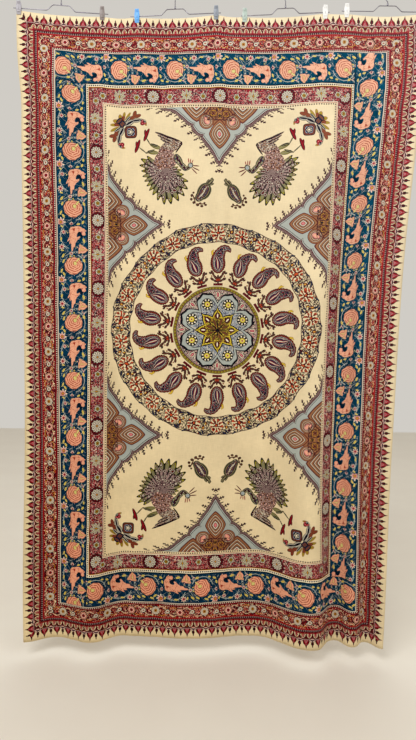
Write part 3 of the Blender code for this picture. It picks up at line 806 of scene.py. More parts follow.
def garland(t, vec, colour, inks):
    """Flower garland between two dark wavy lines."""
    far = put(t, "VectorMath.LENGTH", vec)
    wave = swing(t, vec, 26)
    zone = within(t, far, 366.5, 34.0)
    colour = scrolls(t, colour, vec, (("curl", 13, 0.04, 2, "olive_grey"), ("curl", 11, 0.055, 7, "plum"),
                                      ("dot", 10, 0.24, 4, "black"), ("dot", 11, 0.15, 6, "orange"), ("dot", 13, 0.12, 5, "slate")), zone, inks)
    outer = within(t, put(t, "Math.SUBTRACT", far, put(t, "Math.MULTIPLY", wave, 2.0)), 401, 1.4)
    inner = within(t, put(t, "Math.MULTIPLY_ADD", wave, 2.0, far), 332, 1.3)
    colour = cover(t, colour, put(t, "Math.MAXIMUM", outer, inner), "plum", inks)
    one = round_and_round(t, vec, 26, 90)
    colour = dye(t, colour, nearest(t, one, brush(
        (390, 22, 402, 42, 3.6), (382, 34, 398, 46, 3.4), (342, 22, 334, 40, 3.4), (350, 34, 338, 45, 3.2),
        (394, -20, 404, -36, 3.2), (338, -20, 330, -34, 3.0), (366, 34, 378, 44, 3.4))),
                 [(0, "slate"), (0.4, "black"), (0.97, None)], inks)
    colour = dye(t, colour, nearest(t, one, [(374, 40, 7, 6, 0), (358, -42, 7, 6, 0)]),
                 [(0, "yellow"), (0.3, "rust"), (0.75, "black"), (1.0, None)], inks)
    # flower of loose petals, no two quite alike
    loose = put(t, "TexNoise", vec, 0.07, 1.0, 0.5).node.outputs[1]
    loose = put(t, "VectorMath.MULTIPLY_ADD", loose, (16, 16, 0), (-8, -8, 0))
    local = put(t, "VectorMath.ADD", one, loose)
    local = motif_at(t, local, 366.5, 0, 29.5)
    away = put(t, "VectorMath.LENGTH", local)
    colour = dye(t, colour, petalled(t, local, 8, 0.07),
                 [(0, "orange"), (0.14, "black"), (0.24, "cream"), (0.9, "plum"), (0.98, None)], inks)
    petal = swing(t, local, 9)
    for least, middle, half, ink in ((-0.4, 0.64, 0.23, "black"), (0.1, 0.66, 0.18, "orange"), (0.75, 0.58, 0.13, "maroon")):
        mask = both(t, put(t, "Math.GREATER_THAN", petal, least), within(t, away, middle, half))
        colour = cover(t, colour, mask, ink, inks)
    star = both(t, put(t, "Math.GREATER_THAN", swing(t, local, 5), 0.0), within(t, away, 0.32, 0.12))
    return cover(t, colour, star, "maroon", inks)


# One quarter of the field; places are millimetres right and up of each motif's own middle
BIRD_MIDDLE = (213.6, 615.6)
BIRD_FEET = brush((-57, 166, -79, 118, 7), (-74, 162, -70, 132, 5.5), (-94, 124, -113, 76, 7), (-108, 118, -104, 90, 5.5))
BIRD_LEGS = brush((-25, 99, -56, 107, 4.0), (-54, 106, -70, 132, 2.4), (-36, 86, -74, 72, 4.0), (-71, 73, -98, 98, 2.4))
BIRD_THIGHS = brush((-10, 88, -56, 108, 8), (-22, 72, -66, 78, 8))
BIRD_WING = brush((-8, 98, 66, 104, 15), (-34, 152, 54, 112, 5), (-26, 142, 46, 108, 6.5), (10, 98, 54, 88, 15),
                  (-14, 128, 44, 102, 8))
BIRD_WING_EDGE = brush((-36, 154, 66, 112, 3.6), (-26, 140, 34, 112, 1.8), (-16, 126, 30, 104, 1.8), (66, 113, 70, 100, 3.6),
                       (70, 103, 46, 70, 3.0))
BIRD_BODY = ((8, 66, 34, 44, -12), (22, 40, 32, 30, 0), (-12, 40, 30, 34, 0))
BIRD_NECK = brush((44, 66, 68, 20, 13), (58, 34, 90, 0, 10.5), (78, 2, 108, 18, 8.5)) + [(104, 21, 11, 11, 0)]
BIRD_CREST = brush((97, 30, 94, 49, 2.0), (103, 31, 103, 47, 1.8), (109, 29, 113, 44, 1.8))
BIRD_BEAKS = brush((112, 20, 137, 19, 2.2), (112, 14, 138, 1, 2.2), (108, 10, 130, -12, 2.0))
FAN = ((0, 0.4), (0.1, 0.5), (0.172, 0.79), (0.238, 0.68), (0.338, 0.64), (0.418, 0.71), (0.483, 0.87), (0.5275, 0.95),
       (0.579, 0.95), (0.628, 0.91), (0.677, 0.8), (0.713, 0.62), (0.766, 0.5), (0.85, 0.4), (1, 0.4))


def peacock(t, at, colour, inks):
    """The large bird with its fan of feathers, mirrored in four places."""
    x = put(t, "Math.SUBTRACT", BIRD_MIDDLE[0], at["wide"])
    y = put(t, "Math.SUBTRACT", at["tall"], BIRD_MIDDLE[1])
    spot = put(t, "CombineXYZ", x, y, 0.0)
    for rows, stops in ((BIRD_THIGHS, [(0, "olive_grey"), (0.5, "olive"), (0.72, "black"), (1.0, None)]),
                        (BIRD_LEGS, [(0, "olive_grey"), (0.3, "black"), (1.0, None)]),
                        (BIRD_FEET, [(0, "crimson"), (0.3, "maroon"), (0.7, "plum"), (1.0, None)])):
        colour = dye(t, colour, nearest(t, spot, rows), stops, inks)
    far = put(t, "VectorMath.LENGTH", spot)
    angle = put(t, "Math.ARCTAN2", x, put(t, "Math.MULTIPLY", y, -1.0))
    reach = put(t, "Math.MULTIPLY", curve(t, put(t, "Math.MULTIPLY_ADD", angle, 1 / math.tau, 0.5), FAN), 122.0)
    saw = put(t, "Math.COSINE", put(t, "Math.MULTIPLY", angle, 27.0))
    near = put(t, "Math.DIVIDE", far, both(t, reach, put(t, "Math.MULTIPLY_ADD", saw, 0.10, 1.0)))
    colour = dye(t, colour, near, [(0, "mauve"), (0.66, "olive_grey"), (0.86, "olive"), (0.93, "black"), (1.0, None)], inks)
    colour = tint(t, colour, both(t, less(t, saw, -0.3), less(t, near, 0.95)), 0.9, "black", inks)
    # eyes of the feathers, and the scales of the breast
    cell = put(t, "TexVoronoi", put(t, "Mapping", spot, (3, 5, 0)), 0.068)
    eye = put(t, "Math.MAXIMUM", cell, put(t, "Math.GREATER_THAN", near, 0.9))
    colour = dye(t, colour, eye, [(0, "maroon"), (0.2, "black"), (0.27, "stone"), (0.34, "mauve"), (0.4, "plum"), (0.5, None)], inks)
    body = nearest(t, spot, BIRD_BODY)
    scale = put(t, "Math.MAXIMUM", put(t, "TexVoronoi", spot, 0.1), put(t, "Math.GREATER_THAN", body, 0.93))
    colour = dye(t, colour, scale, [(0, "maroon"), (0.12, "blush"), (0.26, "mauve"), (0.42, "plum"), (0.56, "tan"), (0.66, "mauve"), (0.9, None)], inks)
    wing = nearest(t, spot, BIRD_WING)
    colour = dye(t, colour, wing, [(0, "tan"), (0.4, "mauve"), (0.7, "tan"), (0.86, "plum"), (1.0, None)], inks)
    colour = scrolls(t, colour, spot, (("curl", 8, 0.07, 4, "plum"), ("curl", 7, 0.04, 6, "stone"), ("dot", 8, 0.2, 2, "black")),
                     less(t, wing, 0.9), inks)
    neck = nearest(t, spot, BIRD_NECK)
    colour = dye(t, colour, neck, [(0, "plum"), (0.4, "olive_grey"), (0.8, "black"), (1.0, None)], inks)
    colour = scrolls(t, colour, spot, (("dot", 8, 0.3, 2, "slate"), ("dot", 7, 0.18, 5, "black"), ("dot", 9, 0.2, 6, "stone")),
                     less(t, neck, 0.9), inks)
    for rows, stops in (([(104, 20, 7, 7, 0)], [(0, "steel"), (0.5, "sky_grey"), (1.0, None)]),
                        (BIRD_CREST, [(0, "crimson"), (1.0, None)]),
                        (BIRD_BEAKS, [(0, "maroon"), (1.0, None)]),
                        (BIRD_WING_EDGE, [(0, "plum"), (0.3, "black"), (1.0, None)])):
        colour = dye(t, colour, nearest(t, spot, rows), stops, inks)
    return colour


BOUQUET_KNOT = (360.0, 784.0)


def bouquet(t, at, colour, inks):
    """The corner bouquet: striped curling petals and a square dark flower, alike on both sides of its axis."""
    x = put(t, "Math.SUBTRACT", BOUQUET_KNOT[0], at["wide"])
    y = put(t, "Math.SUBTRACT", at["tall"], BOUQUET_KNOT[1])
    spot = put(t, "CombineXYZ", x, y, 0.0)
    inward = put(t, "Math.MULTIPLY", put(t, "Math.SUBTRACT", x, y), 0.7071)
    off = put(t, "Math.ABSOLUTE", put(t, "Math.MULTIPLY", put(t, "Math.ADD", x, y), 0.7071))
    half = put(t, "CombineXYZ", inward, off, 0.0)
    for rows, stops in (
            (brush((-34, 4, -54, 18, 7.5), (-22, 14, -30, 54, 5.6), (-28, 10, -48, 38, 5.8), (34, 70, 48, 58, 4)),
             [(0, "olive"), (0.45, "ochre"), (0.75, "brown"), (1.0, None)]),
            (brush((-16, 6, -8, 60, 8.5), (-9, 50, -20, 74, 7), (-9, 50, 4, 76, 7), (-26, 4, -40, 26, 6.5)),
             [(0, "brown"), (0.35, "rust"), (0.6, "plum"), (0.7, "brown"), (0.88, "black"), (1.0, None)]),
            (brush((-10, 4, 2, 42, 10.5), (-2, 34, 18, 64, 9), (10, 58, 38, 70, 6.5), (-18, 6, -20, 44, 5.5)),
             [(0, "black"), (0.3, "slate"), (0.42, "stone"), (0.62, "black"), (0.72, "stone"), (0.84, "black"), (1.0, None)]),
            ([(31, 56, 8, 8, 0), (24, 62, 4, 7, 20), (38, 61, 4, 6, -30)],
             [(0, "pink"), (0.25, "crimson"), (0.8, "plum"), (1.0, None)]),
            ([(-38, 0, 9, 15, 0), (-22, 4, 12, 10, 0)], [(0, "brown"), (0.4, "slate"), (0.6, "black"), (1.0, None)])):
        colour = dye(t, colour, nearest(t, half, rows), stops, inks)
    a, b = split(t, put(t, "VectorMath.ABSOLUTE", motif_at(t, spot, 17, -15, 23.5)))
    near = put(t, "Math.POWER", put(t, "Math.ADD", put(t, "Math.POWER", a, 4.0), put(t, "Math.POWER", b, 4.0)), 0.25)
    colour = dye(t, colour, near, [(0, "slate"), (0.52, "steel"), (0.6, "maroon"), (0.72, "brown"), (0.84, "plum"), (1.0, None)], inks)
    bloom = motif_at(t, spot, 17, -15, 12)
    colour = dye(t, colour, petalled(t, bloom, 5, 0.2), [(0, "white"), (0.3, "black"), (0.5, "stone"), (0.72, "black"), (1.0, None)], inks)
    return colour


def small_paisley(t, at, colour, inks):
    """The eight small dark paisleys beside the pendants' tips."""
    x = put(t, "Math.SUBTRACT", 60.0, at["wide"])
    y = put(t, "Math.SUBTRACT", at["tall"], 537.0)
    spot = put(t, "CombineXYZ", x, y, 0.0)
    colour = dye(t, colour, nearest(t, spot, brush((12, 22, 40, 50, 6.5), (10, 30, 24, 48, 4), (24, 26, 40, 34, 4), (28, 44, 36, 54, 4))),
                 [(0, "olive_grey"), (0.4, "plum"), (0.6, "black"), (1.0, None)], inks)
    body = nearest(t, spot, [(2, 2, 34, 25, 60)] + brush((-26, -36, 8, 10, 17)))
    colour = dye(t, colour, body, [(0, "stone"), (0.14, "black"), (0.3, "slate"), (0.54, "black"), (0.66, "olive_grey"), (0.76, "black"),
                                   (0.9, "olive_grey"), (0.95, "black"), (1.0, None)], inks)
    colour = scrolls(t, colour, spot, (("dot", 7, 0.24, 5, "stone"), ("curl", 7, 0.05, 2, "brown")), less(t, body, 0.68), inks)
    return dye(t, colour, nearest(t, spot, [
        (-44, -16, 5.5, 5.5, 0), (-46, -30, 5.5, 5.5, 0), (-36, -42, 5.5, 5, 0), (-22, -50, 6, 5, 0), (-6, -54, 6, 4.5, 0), (-38, -6, 4, 4, 0),
        (8, -50, 5, 4, 0), (-34, -26, 4, 4, 0), (-12, -44, 4, 4, 0), (4, -42, 4, 3.4, 0)] + brush((-40, -12, -28, -46, 2.2), (-28, -46, 8, -46, 2.2))),
               [(0, "brown"), (0.45, "black"), (1.0, None)], inks)


def plain_cream(t, inks):
    return put(t, "Mix", 0.0, inks["cream"], inks["cream"], data_type="RGBA")


def field_middle(t, at, inks):
    """Cream field round the medallion."""
    colour = pendant(t, at, plain_cream(t, inks), inks)
    middle = motif_at(t, at["vec"], 0, 8, 1.04, 1.02)
    colour = garland(t, middle, colour, inks)
    colour = paisleys(t, middle, colour, inks)
    return medallion(t, middle, colour, inks)


def field_end(t, at, inks):
    """Cream field towards the top and the hem."""
    colour = pendant(t, at, plain_cream(t, inks), inks)
    colour = bouquet(t, at, colour, inks)
    colour = peacock(t, at, colour, inks)
    return small_paisley(t, at, colour, inks)


def printed_cotton(name, draw, inks):
    """Block-printed cotton, washed and sun-dried: matt, a little uneven in tone."""
    made = bpy.data.materials.new(name)
    made.use_nodes = True
    t = made.node_tree
    t.nodes.clear()
    at = ground(t)
    colour = draw(t, at, inks)
    # the wash: slow light and dark patches
    patch = put(t, "TexNoise", at["vec"], 0.006, 4.0, 0.6)
    colour = put(t, "Mix", 1.0, colour, put(t, "MapRange", patch, 0.3, 0.7, 0.9, 1.06), data_type="RGBA", blend_type="MULTIPLY")
    # thread: uneven yarns, drawn 2.5 mm apart because the real 0.6 mm is too fine to show
    yarn = put(t, "TexNoise", put(t, "Mapping", at["vec"], (0, 0, 0), (0, 0, 0), (0.04, 0.4, 1)), 1.0, 2.0, 0.6)
    warp = put(t, "TexNoise", put(t, "Mapping", at["vec"], (0, 0, 0), (0, 0, 0), (0.4, 0.03, 1)), 1.0, 2.0, 0.6)
    weave = put(t, "Math.ADD", yarn, warp)
    colour = put(t, "Mix", 1.0, colour, put(t, "MapRange", weave, 0.7, 1.3, 0.94, 1.05), data_type="RGBA", blend_type="MULTIPLY")
    # painted light: a gamma makes the print paler towards the top right and darker towards the bottom and left,
    # standing in for the lamps' light falling off across the cloth
    fade = put(t, "Math.ADD", put(t, "VectorMath.DOT_PRODUCT", at["vec"], (-0.00012, -0.00013, 0)), 1.09)
    colour = put(t, "Gamma", colour, fade)
    # the back shows the print faintly through the cotton
    behind = put(t, "Attribute", attribute_name="behind").node.outputs[2]
    colour = put(t, "Mix", put(t, "Math.MULTIPLY", behind, 0.5), colour, inks["cream"], data_type="RGBA")
    bump = put(t, "Bump", 0.35, 0.0006, None, weave)
    shader = put(t, "BsdfPrincipled").node
    t.links.new(colour, shader.inputs["Base Color"])
    t.links.new(bump, shader.inputs["Normal"])
    shader.inputs["Roughness"].default_value = 0.88
    shader.inputs["Specular IOR Level"].default_value = 0.03
    shader.inputs["Sheen Weight"].default_value = 0.015
    shader.inputs["Sheen Roughness"].default_value = 0.6
    t.links.new(shader.outputs[0], t.nodes.new("ShaderNodeOutputMaterial").inputs[0])
    return made


def flat_places():
    """Columns and rows of the cloth's mesh, in flat metres, with a line on each edge of a print region."""
    def filled(marks, step):
        places = [marks[0]]
        for low, high in zip(marks, marks[1:]):
            count = max(1, round((high - low) / step))
            places += [low + (high - low) * (i + 1) / count for i in range(count)]
        return places

    half = CLOTH_WIDE / 2
    inner = [(FIELD_WIDE + d) / 1000 for d in (0, 84.5 - SIDE_NUDGE, 198 - SIDE_NUDGE)]
    marks = [-half] + [-m for m in reversed(inner)] + inner + [half]
    columns = filled(marks, 0.0125)
    tall = [(FIELD_TALL + d * END_STRETCH) / 1000 for d in (0, 84.5, 198)]
    downs = [MIDDLE_DOWN - m for m in reversed(tall)] + [MIDDLE_DOWN - 0.42, MIDDLE_DOWN + 0.42] + [MIDDLE_DOWN + m for m in tall]
    rows = filled([0.0] + downs + [CLOTH_LONG], 0.0135)
    return columns, rows


def region(s, t):
    """Which printed material a flat place belongs to."""
    side = abs(s) * 1000 - FIELD_WIDE
    side += SIDE_NUDGE if 70 < side < 195 else 0
    end = (abs(MIDDLE_DOWN - t) * 1000 - FIELD_TALL) / END_STRETCH
    away = max(side, end)
    if away > 198:
        return 0
    if away > 84.5:
        return 1
    if away > 0:
        return 2
    return 3 if abs(MIDDLE_DOWN - t) < 0.42 else 4


class PanelInks(bpy.types.PropertyGroup):
    """Colours of the print"""
    __annotations__ = {name: FloatVectorProperty(name=name.replace("_", " ").capitalize(), description=what[:1].upper() + what[1:],
                                                 subtype="COLOR", size=4, min=0, max=1, default=linear(code))
                       for name, code, what in INKS}


class PanelSizes(bpy.types.PropertyGroup):
    """Sizes of the panel"""
    thick: FloatProperty(name="Cloth thickness", description="Thickness of the cotton with its turned hem", default=0.0012, unit="LENGTH")
    creased: FloatProperty(name="Crease depth", description="Depth of the small soft creases between the main folds", default=0.0016, unit="LENGTH")


class PANEL_OT_cloth(bpy.types.Operator):
    """Hang the printed cloth in its folds"""
    bl_idname = "panel.cloth"
    bl_label = "Printed cloth"

    def execute(self, context):
        sizes = context.scene.panel_sizes
        inks = {name: tuple(getattr(context.scene.panel_inks, name)) for name, _, _ in INKS}
        columns, rows = flat_places()
        wide, tall = len(columns), len(rows)
        grid = []
        for t in rows:
            xs = across_row(columns, t)
            line = []
            for s, x in zip(columns, xs):
                loose = min(1.0, max(0.0, (t - 0.03) / 0.2))
                small = loose * crease_at(s, t, sizes.creased)
                line.append(Vector((x, -reach_at(s, t) - small, CLOTH_TOP - t - drop_at(s, t))))
            grid.append(line)
        mesh = bpy.data.meshes.new("printed_cloth")
        bm = bmesh.new()
        print_uv = bm.loops.layers.uv.new("Print")
        bake_uv = bm.loops.layers.uv.new("OFBake")
        behind = bm.verts.layers.float.new("behind")
        faces = [[], []]
        for j in range(tall):
            faces[0].append([]), faces[1].append([])
            for i in range(wide):
                right = grid[j][min(i + 1, wide - 1)] - grid[j][max(i - 1, 0)]
                down = grid[min(j + 1, tall - 1)][i] - grid[max(j - 1, 0)][i]
                out = down.cross(right).normalized()
                out = -out if out.y > 0 else out
                for k, sign in ((0, 0.5), (1, -0.5)):
                    vert = bm.verts.new(grid[j][i] + out * sizes.thick * sign)
                    vert[behind] = float(k)
                    faces[k][j].append(vert)
        place = {}
        for k in (0, 1):
            for j in range(tall):
                for i in range(wide):
                    place[faces[k][j][i]] = (columns[i], rows[j], k)

        def skin(corners, where):
            face = bm.faces.new(corners)
            face.smooth = True
            face.material_index = where
            back = sum(place[c][2] for c in corners) > len(corners) / 2
            for loop in face.loops:
                s, t, _ = place[loop.vert]
                loop[print_uv].uv = (s, MIDDLE_DOWN - t)
                if back:
                    loop[bake_uv].uv = (0.99 - 0.33 * (s / CLOTH_WIDE + 0.5), 0.99 - 0.33 * CLOTH_LONG / CLOTH_WIDE * t / CLOTH_LONG)
                else:
                    loop[bake_uv].uv = (0.01 + 0.625 * (s / CLOTH_WIDE + 0.5), 0.99 - 0.625 * CLOTH_LONG / CLOTH_WIDE * t / CLOTH_LONG)

        for j in range(tall - 1):
            for i in range(wide - 1):
                where = region((columns[i] + columns[i + 1]) / 2, (rows[j] + rows[j + 1]) / 2)
                f, b = faces
                skin((f[j][i], f[j + 1][i], f[j + 1][i + 1], f[j][i + 1]), where)
                skin((b[j][i], b[j][i + 1], b[j + 1][i + 1], b[j + 1][i]), where)
        f, b = faces
        for j in range(tall - 1):
            skin((f[j][0], b[j][0], b[j + 1][0], f[j + 1][0]), 0)
            skin((f[j][-1], f[j + 1][-1], b[j + 1][-1], b[j][-1]), 0)
        for i in range(wide - 1):
            skin((f[0][i], f[0][i + 1], b[0][i + 1], b[0][i]), 0)
            skin((f[-1][i], b[-1][i], b[-1][i + 1], f[-1][i + 1]), 0)
        bm.to_mesh(mesh)
        bm.free()
        cloth = bpy.data.objects.new("printed_cloth", mesh)
        context.scene.collection.objects.link(cloth)
        for name, draw in (("printed_cotton_outer", outer_bands), ("printed_cotton_blue", blue_band),
                           ("printed_cotton_inner", inner_bands), ("printed_cotton_middle", field_middle),
                           ("printed_cotton_end", field_end)):
            mesh.materials.append(printed_cotton(name, draw, inks))
        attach(cloth, "root")
        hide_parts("cloth")
        return {"FINISHED"}


def polished_wire(name):
    """Drawn steel wire, nickel plated: bright, with faint rubs along it from clips and rails."""
    made = bpy.data.materials.new(name)
    made.use_nodes = True
    t = made.node_tree
    shader = t.nodes["Principled BSDF"]
    place = put(t, "TexCoord").node.outputs["Object"]
    # rubs a few millimetres long
    rubs = put(t, "TexNoise", put(t, "Mapping", place, (0, 0, 0), (0, 0, 0), (300, 300, 300)), 1.0, 3.0, 0.6)
    t.links.new(put(t, "MapRange", rubs, 0.35, 0.7, 0.32, 0.5), shader.inputs["Roughness"])
    t.links.new(put(t, "Mix", put(t, "MapRange", rubs, 0.4, 0.75, 0.0, 1.0), linear("96929A"), linear("75707A"),
                    data_type="RGBA"), shader.inputs["Base Color"])
    shader.inputs["Metallic"].default_value = 1.0
    return made


def moulded_plastic(name, code):
    """Injection-moulded polypropylene: even colour, satin, a little duller where it is handled."""
    made = bpy.data.materials.new(name)
    made.use_nodes = True
    t = made.node_tree
    shader = t.nodes["Principled BSDF"]
    place = put(t, "TexCoord").node.outputs["Object"]
    # handling: soft patches 6 mm wide; mould grain drawn at 0.8 mm
    worn = put(t, "TexNoise", place, 160.0, 2.0, 0.5)
    grain = put(t, "TexNoise", place, 1250.0, 1.0, 0.5)
    t.links.new(put(t, "MapRange", worn, 0.35, 0.7, 0.34, 0.52), shader.inputs["Roughness"])
    shade = put(t, "MapRange", worn, 0.35, 0.75, 1.0, 0.88)
    t.links.new(put(t, "Mix", 1.0, linear(code), shade, data_type="RGBA", blend_type="MULTIPLY"),
                shader.inputs["Base Color"])
    t.links.new(put(t, "Bump", 0.25, 0.0002, None, grain), shader.inputs["Normal"])
    shader.inputs["IOR"].default_value = 1.49
    return made


def clip_frame(n):
    """Where clip n sits on its bar: its centre and the bar's level direction."""
    _, across, reach, _, bar, _, _ = HANGERS[n // 2]
    xs = across_row(across, 0.0)
    ends = [Vector((x, -r, CLOTH_TOP + b)) for x, r, b in zip(xs, reach, bar)]
    flat = Vector((ends[1].x - ends[0].x, ends[1].y - ends[0].y, 0)).normalized()
    back = Vector((0, 0, 1)).cross(flat).normalized()
    return Matrix.Translation(ends[n % 2]) @ Matrix((flat, back, Vector((0, 0, 1)))).transposed().to_4x4()


def only(thing):
    """Select one object and nothing else."""
    bpy.ops.object.select_all(action="DESELECT")
    thing.select_set(True)
    bpy.context.view_layer.objects.active = thing


def model_jaw():
    """One front jaw of a clip, at the origin, its bar along X: a plate that tapers to its tip, still without its ribs.
    """
    bpy.ops.mesh.primitive_cube_add(size=1, location=(0, -0.0018, -0.0235), scale=(0.016, 0.0016, 0.001))
    jaw = bpy.context.object
    only(jaw)
    bpy.ops.object.transform_apply(location=True, rotation=False, scale=True)
    bpy.ops.object.mode_set(mode="EDIT")
    bpy.ops.mesh.select_mode(type="FACE")
    bm = bmesh.from_edit_mesh(jaw.data)
    bpy.ops.mesh.select_all(action="DESELECT")
    bm.faces.ensure_lookup_table()
    top = max(bm.faces, key=lambda f: f.calc_center_median().z)
    top.select = True
    bmesh.update_edit_mesh(jaw.data)
    # height, middle and thickness front to back, width
    low, middle, deep, wide = -0.023, -0.0018, 0.0016, 0.016
    for height, inner, outer, half in JAW[1:]:
        bpy.ops.mesh.extrude_region_move(TRANSFORM_OT_translate={"value": (0, -(inner + outer) / 2 - middle, height - low)})
        new_deep, new_wide = outer - inner, half * 2
        bpy.ops.transform.resize(value=(new_wide / wide, new_deep / deep, 1), center_override=(0, -(inner + outer) / 2, height))
        low, middle, deep, wide = height, -(inner + outer) / 2, new_deep, new_wide
    bpy.ops.mesh.select_all(action="SELECT")
    bpy.ops.mesh.bevel(offset=0.0005, segments=2, affect="EDGES")
    bpy.ops.mesh.normals_make_consistent(inside=False)
    bpy.ops.object.mode_set(mode="OBJECT")
    return jaw


def model_ribs():
    """Three grip ribs on the thumb tab and one tooth under the jaw's tip."""
    parts = []
    for height, reach, wide, deep, tall in ((0.0135, 0.0066, 0.012, 0.0012, 0.0012), (0.0170, 0.0074, 0.0115, 0.0012, 0.0012),
                                            (0.0205, 0.0081, 0.011, 0.0012, 0.0012), (-0.0120, 0.0050, 0.010, 0.0012, 0.0060)):
        bpy.ops.mesh.primitive_cube_add(size=1, location=(0, -reach, height), scale=(wide, deep, tall))
        parts.append(bpy.context.object)
        bpy.ops.object.transform_apply(location=True, rotation=False, scale=True)
        bpy.ops.object.mode_set(mode="EDIT")
        bpy.ops.mesh.select_all(action="SELECT")
        bpy.ops.mesh.bevel(offset=0.0003, segments=2, affect="EDGES")
        bpy.ops.object.mode_set(mode="OBJECT")
    return parts


def model_spring():
    """The wire spring that hugs both jaws over the bar: one closed loop of 1.1 mm wire."""
    bpy.ops.mesh.primitive_torus_add(location=(0, 0, -0.003), rotation=(0, math.pi / 2, 0), major_segments=28, minor_segments=8,
                                     major_radius=0.0068, minor_radius=0.00055)
    spring = bpy.context.object
    bpy.ops.object.transform_apply(location=True, rotation=True, scale=True)
    return spring


def finer_wire(node, finish):
    """A rounder copy of a wire: its bends turned in a small arc, its ends rounded off."""
    only(node)
    bpy.ops.object.duplicate()
    one = bpy.context.object
    for key in list(one.keys()):
        del one[key]
    one.name = "wire_" + node.name
    one.data.name = one.name
    one.data.materials.clear()
    one.data.materials.append(finish)
    bpy.ops.object.mode_set(mode="EDIT")
    bpy.ops.mesh.select_all(action="SELECT")
    bpy.ops.mesh.remove_doubles(threshold=0.00001)
    bpy.ops.mesh.dissolve_limited(angle_limit=math.radians(1))
    bpy.ops.mesh.select_mode(type="EDGE")
    for at_the_ends, offset, segments in ((False, 0.004, 4), (True, 0.0006, 2)):
        if not at_the_ends and not node.name.startswith("bar_"):
            continue
        bpy.ops.mesh.select_all(action="DESELECT")
        bm = bmesh.from_edit_mesh(one.data)
        for edge in bm.edges:
            capped = any(len(face.verts) > 4 for face in edge.link_faces)
            edge.select = edge.calc_length() < 0.003 and capped == at_the_ends
        bmesh.update_edit_mesh(one.data)
        bpy.ops.mesh.bevel(offset=offset, segments=segments, affect="EDGES")
    bpy.ops.object.mode_set(mode="OBJECT")
    bpy.ops.object.shade_smooth_by_angle(angle=math.radians(50))
    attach(one, "root")
    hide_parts(node.name)


class PANEL_OT_hangers(bpy.types.Operator):
    """Give the wire hangers their finish and set a moulded clip at each of the eight places"""
    bl_idname = "panel.hangers"
    bl_label = "Clip hangers"

    def execute(self, context):
        wire = polished_wire("polished_wire")
        for name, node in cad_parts.items():
            if name.startswith(("bar_", "hook_")):
                finer_wire(node, wire)
        jaw = model_jaw()
        ribs = model_ribs()
        only(jaw)
        for part in ribs:
            part.select_set(True)
        bpy.ops.object.join()
        spring = model_spring()
        for n in range(8):
            finish = moulded_plastic("moulded_plastic_" + CLIP_INKS[n][0], CLIP_INKS[n][1])
            place = clip_frame(n)
            for facing, flip in (("front", 1), ("back", -1)):
                only(jaw)
                bpy.ops.object.duplicate()
                one = context.object
                one.name = "clip_%s_%d" % (facing, n + 1)
                one.data.name = one.name
                one.data.transform(place @ Matrix.Rotation(0 if flip > 0 else math.pi, 4, "Z"))
                one.data.materials.clear()
                one.data.materials.append(finish)
                only(one)
                bpy.ops.object.shade_smooth_by_angle(angle=math.radians(40))
                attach(one, "root")
                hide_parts("jaw_%s_%d" % (facing, n + 1))
            only(spring)
            bpy.ops.object.duplicate()
            one = context.object
            one.name = "spring_%d" % (n + 1)
            one.data.name = one.name
            one.data.transform(place)
            one.data.materials.clear()
            one.data.materials.append(wire)
            only(one)
            bpy.ops.object.shade_smooth()
            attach(one, "root")
        bpy.data.objects.remove(jaw)
        bpy.data.objects.remove(spring)
        return {"FINISHED"}


def pale_floor(name):
    """Painted studio floor: matt and even, with a faint roller mark."""
    made = bpy.data.materials.new(name)
    made.use_nodes = True
    t = made.node_tree
    shader = t.nodes["Principled BSDF"]
    marks = put(t, "TexNoise", put(t, "TexCoord").node.outputs["Object"], 3.0, 3.0, 0.5)
    t.links.new(put(t, "Mix", put(t, "MapRange", marks, 0.3, 0.7, 0.0, 1.0), linear("E5DED0"), linear("E2DACC"),
                    data_type="RGBA"), shader.inputs["Base Color"])
    shader.inputs["Roughness"].default_value = 0.6
    return made


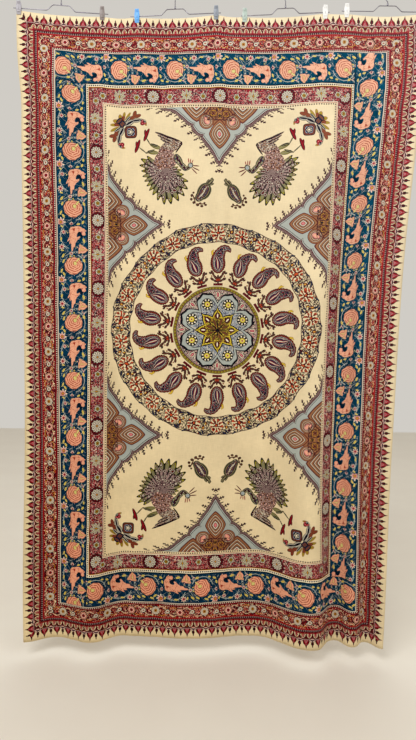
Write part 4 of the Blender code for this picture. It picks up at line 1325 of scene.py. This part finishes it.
class PANEL_OT_stage(bpy.types.Operator):
    """Set the pale floor, the soft light and the camera"""
    bl_idname = "panel.stage"
    bl_label = "Stage"

    def execute(self, context):
        # the print's colours are what the eye sees, so no film curve is laid over them
        context.scene.view_settings.view_transform = "Standard"
        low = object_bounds()[0]
        bpy.ops.mesh.primitive_plane_add(size=12, location=(0, 0, low[2] - 0.06))
        floor = context.object
        floor.name = "floor"
        floor.data.materials.append(pale_floor("pale_floor"))
        floor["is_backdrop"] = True
        world = bpy.data.worlds.new("studio") if context.scene.world is None else context.scene.world
        context.scene.world = world
        world.use_nodes = True
        world.node_tree.nodes["Background"].inputs[0].default_value = (0.84, 0.805, 0.744, 1)
        world.node_tree.nodes["Background"].inputs[1].default_value = 0.75
        for name, place, size, power, colour in (
                ("key", (-1.3, -2.7, 1.7), 2.2, 100, (0.97, 0.98, 1.0)),
                ("fill", (2.6, -2.6, 0.8), 2.5, 34, (0.97, 0.98, 1.0)),
                ("rim", (0.5, 3.0, 1.4), 4.0, 30, (1.0, 1.0, 1.0))):
            data = bpy.data.lights.new(name, "AREA")
            data.energy, data.size, data.color = power, size, colour
            lamp = bpy.data.objects.new(name, data)
            lamp.location = place
            lamp.rotation_euler = (Vector((0, 0, -1.2)) - Vector(place)).to_track_quat("-Z", "Y").to_euler()
            context.scene.collection.objects.link(lamp)
        data = bpy.data.cameras.new("camera")
        camera = bpy.data.objects.new("camera", data)
        context.scene.collection.objects.link(camera)
        context.scene.camera = camera
        # 740 pixels high, 556 pixels of focal length; 2.15 m off, pitched down 2.16 degrees
        data.sensor_fit = "VERTICAL"
        data.sensor_height = 36.0
        data.lens = 36.0 * 556 / 740
        data.clip_end = 50
        pitch, yaw, roll = math.radians(2.16), math.radians(-0.208), math.radians(0.576)
        forward = Vector((math.sin(yaw) * math.cos(pitch), math.cos(yaw) * math.cos(pitch), -math.sin(pitch)))
        right = Vector((math.cos(yaw), -math.sin(yaw), 0))
        up = right.cross(forward)
        right, up = right * math.cos(roll) + up * math.sin(roll), up * math.cos(roll) - right * math.sin(roll)
        turn = Matrix((right, up, -forward)).transposed().to_4x4()
        camera.matrix_world = Matrix.Translation((-0.0253, -2.15, CLOTH_TOP - 1.2637)) @ turn
        return {"FINISHED"}


class PANEL_PT_sidebar(bpy.types.Panel):
    """Lists the panel's pieces"""
    bl_idname = "PANEL_PT_sidebar"
    bl_label = "Kalamkari panel"
    bl_space_type = "VIEW_3D"
    bl_region_type = "UI"
    bl_category = "Panel"

    def draw(self, context):
        for step in STEPS:
            self.layout.operator(step.bl_idname)
        for name in ("thick", "creased"):
            self.layout.prop(context.scene.panel_sizes, name)
        for name, _, _ in INKS:
            self.layout.prop(context.scene.panel_inks, name)


STEPS = (PANEL_OT_cloth, PANEL_OT_hangers, PANEL_OT_stage)
CLASSES = (PanelInks, PanelSizes) + STEPS + (PANEL_PT_sidebar,)


def register():
    for item in CLASSES:
        bpy.utils.register_class(item)
    bpy.types.Scene.panel_inks = PointerProperty(type=PanelInks)
    bpy.types.Scene.panel_sizes = PointerProperty(type=PanelSizes)


def unregister():
    del bpy.types.Scene.panel_inks, bpy.types.Scene.panel_sizes
    for item in reversed(CLASSES):
        bpy.utils.unregister_class(item)


def main():
    register()
    bpy.ops.panel.cloth()
    bpy.ops.panel.hangers()
    bpy.ops.panel.stage()


if __name__ == "__main__":
    main()
